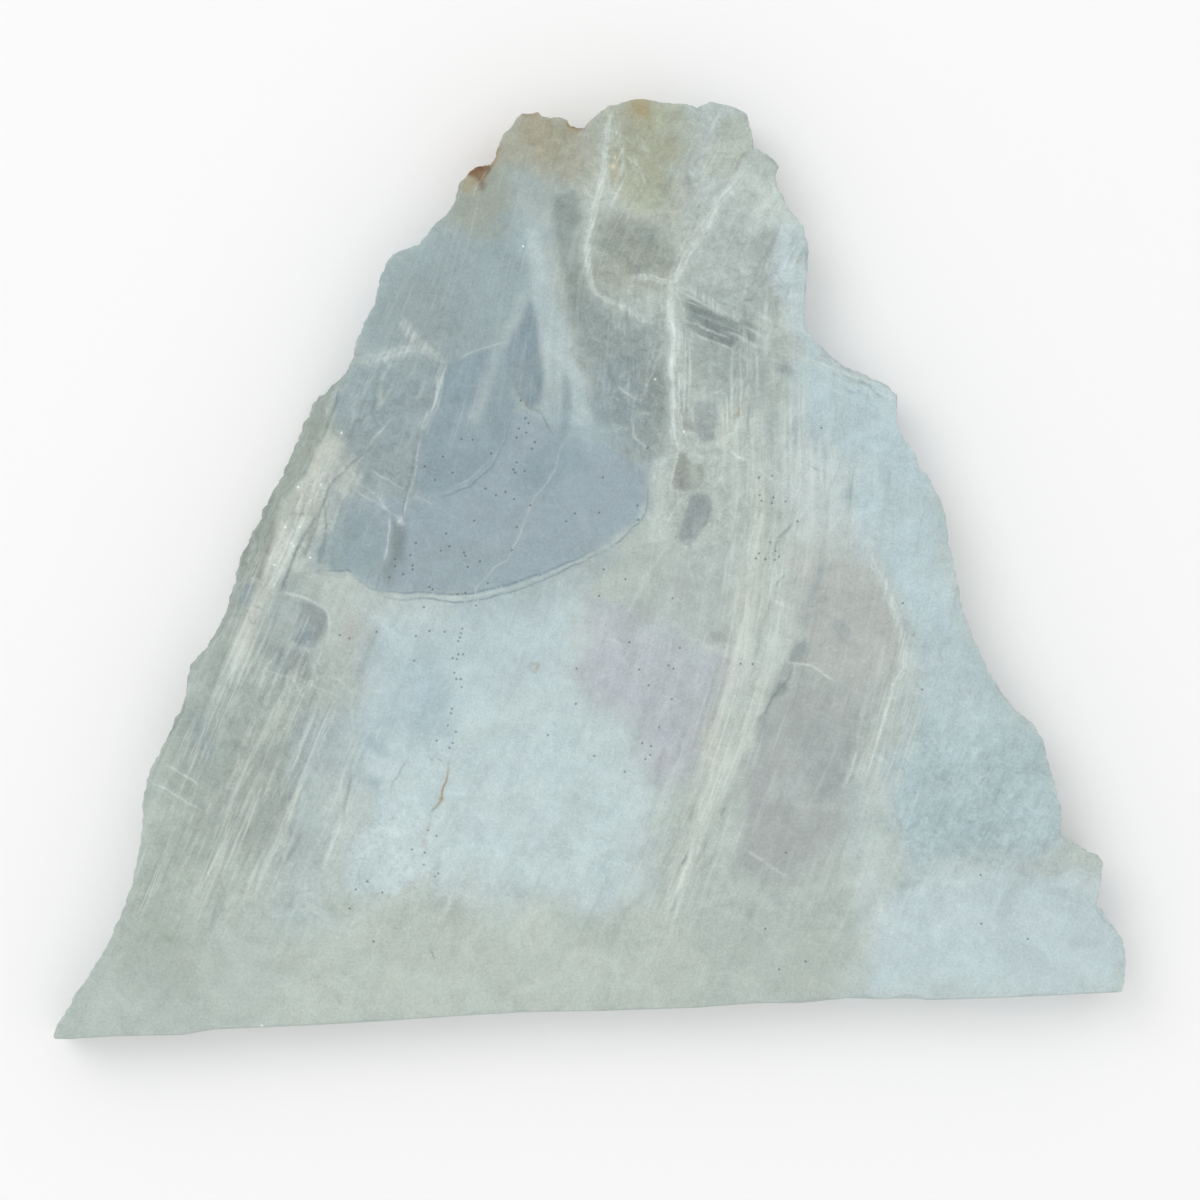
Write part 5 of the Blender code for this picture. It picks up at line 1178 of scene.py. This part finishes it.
def buildSlab():
    low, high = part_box("slab")
    plan, heights, broken = slabWall(low, high)
    rings, count = heights.shape
    wall = np.concatenate([plan, heights[..., None]], axis=2).reshape(-1, 3)
    shapes = allMarkings()
    topInner = facePoints(plan[-1], slabForm["faceSpacing"], markingPoints(shapes))
    backInner = facePoints(plan[0], slabForm["backSpacing"], np.zeros((0, 2)))
    topFaces = triangulate(plan[-1], topInner)
    backFaces = triangulate(plan[0], backInner)[:, ::-1]
    thickness = heights[-1, 0]
    vertices = np.concatenate([
        wall,
        np.column_stack([topInner, np.full(len(topInner), thickness)]),
        np.column_stack([backInner, np.zeros(len(backInner))])])
    topFirst = rings * count
    backFirst = topFirst + len(topInner)
    topFaces = np.where(topFaces < count, topFaces + (rings - 1) * count, topFaces - count + topFirst)
    backFaces = np.where(backFaces < count, backFaces, backFaces - count + backFirst)

    # Paint before the faces are joined up: top with its rim, wall, then back.
    dip = thickness - vertices[:, 2]
    drawn = vertices[:, :2] + dip[:, None] * np.array([crystalLook["dipAcross"], crystalLook["dipAlong"]])
    colour, finish = np.zeros((len(vertices), 3)), np.zeros((len(vertices), 6))
    top = np.arange(topFirst - count, backFirst)
    rest = np.concatenate([np.arange(topFirst - count), np.arange(backFirst, len(vertices))])
    colour[top], finish[top] = paintMarkings(drawn[top], shapes, 0.0)
    colour[rest], finish[rest] = paintMarkings(drawn[rest], shapes, 0.5)
    side = np.arange(topFirst - count)
    sideColour = colour[side]
    paintWall(vertices[side, :2], vertices[side, 2], thickness, sideColour, np.tile(broken, rings - 1))
    colour[side] = sideColour
    topColour, topHeight = colour[top], vertices[top, 2]
    paintDots(vertices[top, :2], topColour, topHeight)
    topHeight[:count] = thickness
    colour[top], vertices[top, 2] = topColour, topHeight
    finish[rest, 0] = 0.0
    # Stains of the skin, and the painted golden glints, over every point.
    paintLines(vertices[:, :2], colour, shapes["stainsAndGlints"], 0.0)
    # Painted highlight and painted shade along the sawn rim, on the face only.
    topColour = colour[top]
    paintLines(vertices[top, :2], topColour, shapes["edges"], 0.0)
    colour[top] = topColour

    ring, point = np.meshgrid(np.arange(rings - 1), np.arange(count), indexing="ij")
    here = ring * count + point
    after = ring * count + (point + 1) % count
    quads = np.stack([here, here + count, after + count, after], axis=-1).reshape(-1, 4)
    loops = np.concatenate([quads.ravel(), topFaces.ravel(), backFaces.ravel()])
    sizes = np.concatenate([np.full(len(quads), 4), np.full(len(topFaces) + len(backFaces), 3)])
    zone = np.concatenate([np.ones(len(quads), int), np.zeros(len(topFaces) + len(backFaces), int)])
    mesh = bpy.data.meshes.new("crystalSlab")
    mesh.vertices.add(len(vertices))
    mesh.vertices.foreach_set("co", (vertices * mm).astype(np.float32).ravel())
    mesh.loops.add(len(loops))
    mesh.loops.foreach_set("vertex_index", loops.astype(np.int32))
    mesh.polygons.add(len(sizes))
    mesh.polygons.foreach_set("loop_start", (np.cumsum(sizes) - sizes).astype(np.int32))
    mesh.materials.append(crystalMaterial("polishedSelenite", crystalLook["roughness"], False))
    mesh.materials.append(crystalMaterial("brokenSelenite", crystalLook["brokenRoughness"], True))
    mesh.polygons.foreach_set("material_index", zone.astype(np.int32))
    mesh.update(calc_edges=True)
    setPointColour(mesh, "crystalTone", colour)
    setPointColour(mesh, "crystalFinish", finish[:, :3])
    setPointColour(mesh, "crystalWeave", finish[:, 3:])
    lanes = mesh.attributes.new("fibrePlace", "FLOAT_VECTOR", "POINT")
    lanes.data.foreach_set("vector", (fibreLanes(drawn, vertices[:, 2]) * mm).astype(np.float32).ravel())
    mesh.set_sharp_from_angle(angle=math.radians(34))
    slab = bpy.data.objects.new("crystalSlab", mesh)
    bpy.context.collection.objects.link(slab)
    print("slab", len(vertices), "points", len(quads) + len(sizes), "triangles")
    return slab


def fibreLanes(points, heights):
    # Coordinates that follow the fibres: the first stays the same along a fibre, the second is the height.
    x, y = points[:, 0], points[:, 1]
    marks = np.array((-60.0, -38.0, -24.0, -8.0, 8.0, 18.0, 34.0, 40.0, 60.0))
    slopes = np.array((0.36, 0.40, 0.38, 0.2, 0.04, -0.02, 0.02, 0.5, 0.55))
    fine = np.linspace(-60.0, 60.0, 481)
    run = np.concatenate([[0.0], np.cumsum(np.interp(0.5 * (fine[1:] + fine[:-1]), marks, slopes)) * 0.25])
    right = np.interp(y, fine, run) - np.interp(0.0, fine, run)
    share = np.clip((x + 22.0) / 26.0, 0.0, 1.0)
    share = share * share * (3.0 - 2.0 * share)
    lean = share * right + (1.0 - share) * 0.42 * y
    far = np.clip((x - 33.0) / 10.0, 0.0, 1.0)
    lean = lean * (1.0 - far) + far * (0.32 * y - 0.004 * (y + 8.0) ** 2)
    return np.column_stack([x - lean, y, heights])


def setPointColour(mesh, name, colour):
    attribute = mesh.attributes.new(name, "FLOAT_COLOR", "POINT")
    rgba = np.column_stack([colour, np.ones(len(colour))])[:, :4].astype(np.float32)
    attribute.data.foreach_set("color", rgba.ravel())


def addNode(tree, kind, place, **settings):
    node = tree.nodes.new(kind)
    node.location = place
    for name, value in settings.items():
        setattr(node, name, value)
    return node


def mathNode(tree, operation, first, second, place):
    node = addNode(tree, "ShaderNodeMath", place, operation=operation)
    for socket, value in zip(node.inputs, (first, second)):
        if isinstance(value, (int, float)):
            socket.default_value = value
        else:
            tree.links.new(value, socket)
    return node.outputs[0]


def stretchedPlace(tree, place, degrees, squash, level):
    # Object coordinates turned so that the grain runs along x, then squashed along it.
    turned = addNode(tree, "ShaderNodeMapping", (-1300, level))
    turned.inputs["Rotation"].default_value = (0.0, 0.0, math.radians(-degrees))
    tree.links.new(place, turned.inputs["Vector"])
    pulled = addNode(tree, "ShaderNodeMapping", (-1100, level))
    pulled.inputs["Scale"].default_value = (squash, 1.0, 1.0)
    tree.links.new(turned.outputs[0], pulled.inputs["Vector"])
    return pulled.outputs[0]


def noiseNode(tree, source, scale, detail, rough, bend, place):
    noise = addNode(tree, "ShaderNodeTexNoise", place)
    noise.inputs["Scale"].default_value = scale
    noise.inputs["Detail"].default_value = detail
    noise.inputs["Roughness"].default_value = rough
    noise.inputs["Distortion"].default_value = bend
    tree.links.new(source, noise.inputs["Vector"])
    return noise


def rangeNode(tree, value, low, high, toLow, toHigh, place):
    node = addNode(tree, "ShaderNodeMapRange", place, interpolation_type="SMOOTHSTEP")
    node.inputs["From Min"].default_value = low
    node.inputs["From Max"].default_value = high
    node.inputs["To Min"].default_value = toLow
    node.inputs["To Max"].default_value = toHigh
    tree.links.new(value, node.inputs["Value"])
    return node.outputs[0]


# Inputs of the grain, and the value of the look that each one takes.
grainAmounts = {
    "Cloud Shade": "cloudShade", "Fibre Shade": "fibreShade", "Grain Shade": "grainShade",
    "Wisp Amount": "wispAmount", "Web Amount": "webAmount", "Strand Amount": "strandAmount",
}


def grainGroup():
    # The crystal's grain at full sharpness; the inputs say how much of each kind a place has.
    tree = bpy.data.node_groups.new("crystalGrain", "ShaderNodeTree")
    tree.interface.new_socket(name="Fibre Place", in_out="INPUT", socket_type="NodeSocketVector")
    inputs = ("Film", "Fibre", "Web", "Strand", "Cross", "Mottle", *grainAmounts)
    for name in inputs:
        tree.interface.new_socket(name=name, in_out="INPUT", socket_type="NodeSocketFloat")
    for name in ("Shade", "Pale", "Dark", "Cool", "Height"):
        tree.interface.new_socket(name=name, in_out="OUTPUT", socket_type="NodeSocketFloat")
    given = addNode(tree, "NodeGroupInput", (-1700, 300)).outputs
    out = addNode(tree, "NodeGroupOutput", (1100, 0)).inputs
    place = addNode(tree, "ShaderNodeTexCoord", (-1700, -200)).outputs["Object"]
    pulled = {}
    squashes = (("fibre", 0.10, -200), ("hair", 0.05, -400), ("strand", 0.035, -600), ("web", 0.4, -800))
    for name, squash, level in squashes:
        node = addNode(tree, "ShaderNodeMapping", (-1100, level))
        node.inputs["Scale"].default_value = (1.0, squash, 1.0)
        tree.links.new(given["Fibre Place"], node.inputs["Vector"])
        pulled[name] = node.outputs[0]
    level = stretchedPlace(tree, place, -25, 0.10, -1000)
    cloudNode = noiseNode(tree, place, 190.0, 9.0, 0.64, 0.7, (-800, 500))
    cloud = cloudNode.outputs[0]
    mottle = noiseNode(tree, place, 750.0, 7.0, 0.72, 0.8, (-800, 300)).outputs[0]
    fibre = noiseNode(tree, pulled["fibre"], 650.0, 8.0, 0.68, 0.7, (-800, 100)).outputs[0]
    hair = noiseNode(tree, pulled["hair"], 1300.0, 6.0, 0.62, 0.9, (-800, -100)).outputs[0]
    strand = noiseNode(tree, pulled["strand"], 1500.0, 4.0, 0.6, 0.5, (-800, -200)).outputs[0]
    cross = noiseNode(tree, level, 1000.0, 7.0, 0.66, 0.6, (-800, -300)).outputs[0]
    grain = noiseNode(tree, place, 3600.0, 4.0, 0.7, 0.0, (-800, -500)).outputs[0]

    calm = rangeNode(tree, given["Film"], 0.0, 1.0, 1.0, 0.8, (-600, 700))
    mottleGain = mathNode(tree, "MULTIPLY", given["Mottle"], given["Cloud Shade"], (-600, 600))
    fibreGain = mathNode(tree, "MULTIPLY", given["Fibre"], given["Fibre Shade"], (-600, 500))
    hairGain = mathNode(tree, "MULTIPLY", fibreGain, 0.7, (-600, 450))
    crossGain = mathNode(tree, "MULTIPLY", given["Cross"], given["Fibre Shade"], (-600, 400))
    strandGain = mathNode(tree, "MULTIPLY", given["Strand"], given["Fibre Shade"], (-600, 350))
    total = None
    layers = ((cloud, given["Cloud Shade"]), (mottle, mottleGain), (fibre, fibreGain), (hair, hairGain),
              (cross, crossGain), (strand, strandGain), (grain, given["Grain Shade"]))
    for noise, gain in layers:
        centred = mathNode(tree, "SUBTRACT", noise, 0.5, (-400, 0))
        part = mathNode(tree, "MULTIPLY", centred, gain, (-200, 0))
        total = part if total is None else mathNode(tree, "ADD", total, part, (0, 0))
    total = mathNode(tree, "MULTIPLY", mathNode(tree, "MULTIPLY", total, 2.0, (100, 0)), calm, (150, 0))
    tree.links.new(mathNode(tree, "ADD", total, 1.0, (300, 0)), out["Shade"])

    # Pale wisps where the stretched noises peak, strands in the braided veins and a web of cleavage lines.
    wisp = rangeNode(tree, fibre, 0.56, 0.70, 0.0, 1.0, (-400, -400))
    thin = rangeNode(tree, hair, 0.58, 0.68, 0.0, 1.0, (-400, -550))
    wisp = mathNode(tree, "MAXIMUM", wisp, thin, (-200, -400))
    wisp = mathNode(tree, "MULTIPLY", wisp, given["Fibre"], (0, -400))
    slant = rangeNode(tree, cross, 0.56, 0.67, 0.0, 1.0, (-400, -700))
    slant = mathNode(tree, "MULTIPLY", slant, given["Cross"], (0, -700))
    wisp = mathNode(tree, "MAXIMUM", wisp, slant, (150, -500))
    wisp = mathNode(tree, "MULTIPLY", wisp, given["Wisp Amount"], (300, -500))
    plait = rangeNode(tree, strand, 0.50, 0.64, 0.0, 1.0, (-400, -800))
    plait = mathNode(tree, "MULTIPLY", plait, given["Strand"], (0, -800))
    plait = mathNode(tree, "MULTIPLY", plait, given["Strand Amount"], (200, -800))
    bent = addNode(tree, "ShaderNodeVectorMath", (-600, -900), operation="MULTIPLY_ADD")
    tree.links.new(cloudNode.outputs["Color"], bent.inputs[0])
    bent.inputs[1].default_value = (0.004, 0.004, 0.0)
    tree.links.new(pulled["web"], bent.inputs[2])
    web = None
    for scale, width, power in ((300.0, 0.03, 1.0), (700.0, 0.05, 0.6)):
        cells = addNode(tree, "ShaderNodeTexVoronoi", (-400, -900), feature="DISTANCE_TO_EDGE")
        cells.inputs["Scale"].default_value = scale
        tree.links.new(bent.outputs[0], cells.inputs["Vector"])
        line = rangeNode(tree, cells.outputs["Distance"], 0.0, width, power, 0.0, (-200, -900))
        web = line if web is None else mathNode(tree, "MAXIMUM", web, line, (100, -900))
    patches = rangeNode(tree, mottle, 0.42, 0.60, 0.0, 1.0, (0, -1100))
    web = mathNode(tree, "MULTIPLY", web, patches, (200, -900))
    web = mathNode(tree, "MULTIPLY", web, given["Web"], (300, -900))
    web = mathNode(tree, "MULTIPLY", web, given["Web Amount"], (400, -900))
    pale = mathNode(tree, "MAXIMUM", mathNode(tree, "MAXIMUM", wisp, web, (600, -600)), plait, (700, -600))
    tree.links.new(pale, out["Pale"])
    dark = rangeNode(tree, fibre, 0.44, 0.31, 0.0, 1.0, (0, -1300))
    dark = mathNode(tree, "MULTIPLY", dark, given["Fibre"], (200, -1300))
    blot = rangeNode(tree, mottle, 0.40, 0.28, 0.0, 1.0, (0, -1400))
    blot = mathNode(tree, "MULTIPLY", blot, given["Web"], (200, -1400))
    dark = mathNode(tree, "MAXIMUM", dark, blot, (300, -1300))
    dark = mathNode(tree, "MULTIPLY", dark, given["Wisp Amount"], (400, -1300))
    tree.links.new(dark, out["Dark"])
    parted = addNode(tree, "ShaderNodeSeparateColor", (-500, 900))
    tree.links.new(cloudNode.outputs["Color"], parted.inputs[0])
    tree.links.new(rangeNode(tree, parted.outputs[1], 0.35, 0.65, 0.0, 1.0, (-300, 900)), out["Cool"])
    tree.links.new(mathNode(tree, "ADD", grain, fibre, (300, -300)), out["Height"])
    return tree


def colourParts(tree, attribute, grain, sockets, level):
    # Splits an attribute of the mesh into three masks for the grain, and gives back the first.
    source = addNode(tree, "ShaderNodeAttribute", (-1500, level), attribute_name=attribute)
    parted = addNode(tree, "ShaderNodeSeparateColor", (-1300, level))
    tree.links.new(source.outputs["Color"], parted.inputs[0])
    for socket, part in zip(sockets, parted.outputs):
        tree.links.new(part, grain.inputs[socket])
    return parted.outputs[0]


def crystalMaterial(name, roughness, broken):
    look = crystalLook
    material = bpy.data.materials.new(name)
    material.use_nodes = True
    tree = material.node_tree
    shader = tree.nodes["Principled BSDF"]
    tone = addNode(tree, "ShaderNodeAttribute", (-1300, 300), attribute_name="crystalTone")
    group = bpy.data.node_groups.get("crystalGrain") or grainGroup()
    grain = addNode(tree, "ShaderNodeGroup", (-1050, 0), node_tree=group)
    film = colourParts(tree, "crystalFinish", grain, ("Film", "Fibre", "Web"), 0)
    colourParts(tree, "crystalWeave", grain, ("Strand", "Cross", "Mottle"), -250)
    fibrePlace = addNode(tree, "ShaderNodeAttribute", (-1500, -500), attribute_name="fibrePlace")
    tree.links.new(fibrePlace.outputs["Vector"], grain.inputs["Fibre Place"])
    for socket, key in grainAmounts.items():
        grain.inputs[socket].default_value = look[key]
    shaded = addNode(tree, "ShaderNodeVectorMath", (-800, 300), operation="SCALE")
    tree.links.new(tone.outputs["Color"], shaded.inputs[0])
    tree.links.new(grain.outputs["Shade"], shaded.inputs["Scale"])
    tinted = addNode(tree, "ShaderNodeMix", (-700, 500), data_type="RGBA", blend_type="MULTIPLY")
    tree.links.new(grain.outputs["Cool"], tinted.inputs["Factor"])
    tree.links.new(shaded.outputs[0], tinted.inputs[6])
    tinted.inputs[7].default_value = (*look["coolTint"], 1.0)
    colour = tinted.outputs[2]
    for socket, toneName in (("Dark", "shadow"), ("Pale", "white")):
        mixed = addNode(tree, "ShaderNodeMix", (-550, 300), data_type="RGBA")
        tree.links.new(grain.outputs[socket], mixed.inputs["Factor"])
        tree.links.new(colour, mixed.inputs[6])
        mixed.inputs[7].default_value = (*toneColour(toneName), 1.0)
        colour = mixed.outputs[2]
    tree.links.new(colour, shader.inputs["Base Color"])
    bump = addNode(tree, "ShaderNodeBump", (-300, -300))
    bump.inputs["Strength"].default_value = 0.5 if broken else 0.06
    bump.inputs["Distance"].default_value = 0.0003 if broken else 0.0001
    tree.links.new(grain.outputs["Height"], bump.inputs["Height"])
    tree.links.new(bump.outputs[0], shader.inputs["Normal"])
    if broken:
        shader.inputs["Roughness"].default_value = roughness
    else:
        gloss = rangeNode(tree, film, 0.0, 1.0, roughness, look["filmRoughness"], (-500, -100))
        tree.links.new(gloss, shader.inputs["Roughness"])
    shader.inputs["IOR"].default_value = 1.52
    shader.inputs["Subsurface Weight"].default_value = look["glow"]
    shader.inputs["Subsurface Radius"].default_value = (0.8, 1.0, 1.0)
    shader.inputs["Subsurface Scale"].default_value = look["glowReach"]
    return material


slab = buildSlab()
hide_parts("slab")
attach(slab, "root")
print("slab made")


stageLook = {"floorSize": 4.0, "floorTone": 0.93, "skyStrength": 0.9, "keyPower": 6.0}


def buildStage():
    size = stageLook["floorSize"] / 2
    mesh = bpy.data.meshes.new("paperFloor")
    level = -0.0001
    corners = [(-size, -size, level), (size, -size, level), (size, size, level), (-size, size, level)]
    mesh.from_pydata(corners, [], [(0, 1, 2, 3)])
    floor = bpy.data.objects.new("paperFloor", mesh)
    bpy.context.collection.objects.link(floor)
    material = bpy.data.materials.new("whitePaper")
    material.use_nodes = True
    shader = material.node_tree.nodes["Principled BSDF"]
    shader.inputs["Base Color"].default_value = (stageLook["floorTone"],) * 3 + (1.0,)
    shader.inputs["Roughness"].default_value = 0.9
    shader.inputs["Specular IOR Level"].default_value = 0.1
    mesh.materials.append(material)


def buildLight():
    world = bpy.data.worlds.new("softRoom")
    bpy.context.scene.world = world
    world.use_nodes = True
    background = world.node_tree.nodes["Background"]
    background.inputs["Color"].default_value = (1.0, 1.0, 1.0, 1.0)
    background.inputs["Strength"].default_value = stageLook["skyStrength"]
    light = bpy.data.lights.new("windowLight", "AREA")
    light.shape = "DISK"
    light.size = 1.2
    light.energy = stageLook["keyPower"]
    lamp = bpy.data.objects.new("windowLight", light)
    lamp.location = (-0.9, 0.8, 1.3)
    lamp.rotation_euler = (Vector((0, 0, 0)) - lamp.location).to_track_quat("-Z", "Y").to_euler()
    bpy.context.collection.objects.link(lamp)


cameraLook = {"across": 0.150, "aimX": 0.00131, "aimY": -0.00381, "lens": 100.0, "sensor": 36.0}


def buildCamera():
    camera = bpy.data.cameras.new("topCamera")
    camera.lens = cameraLook["lens"]
    camera.sensor_width = cameraLook["sensor"]
    holder = bpy.data.objects.new("topCamera", camera)
    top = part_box("slab")[1][2]
    distance = cameraLook["across"] * cameraLook["lens"] / cameraLook["sensor"]
    holder.location = (cameraLook["aimX"], cameraLook["aimY"], top + distance)
    camera.clip_start = 0.01
    camera.clip_end = 20.0
    bpy.context.collection.objects.link(holder)
    bpy.context.scene.camera = holder


buildStage()
buildLight()
buildCamera()
bpy.context.scene.view_settings.view_transform = "Standard"
print("stage made")
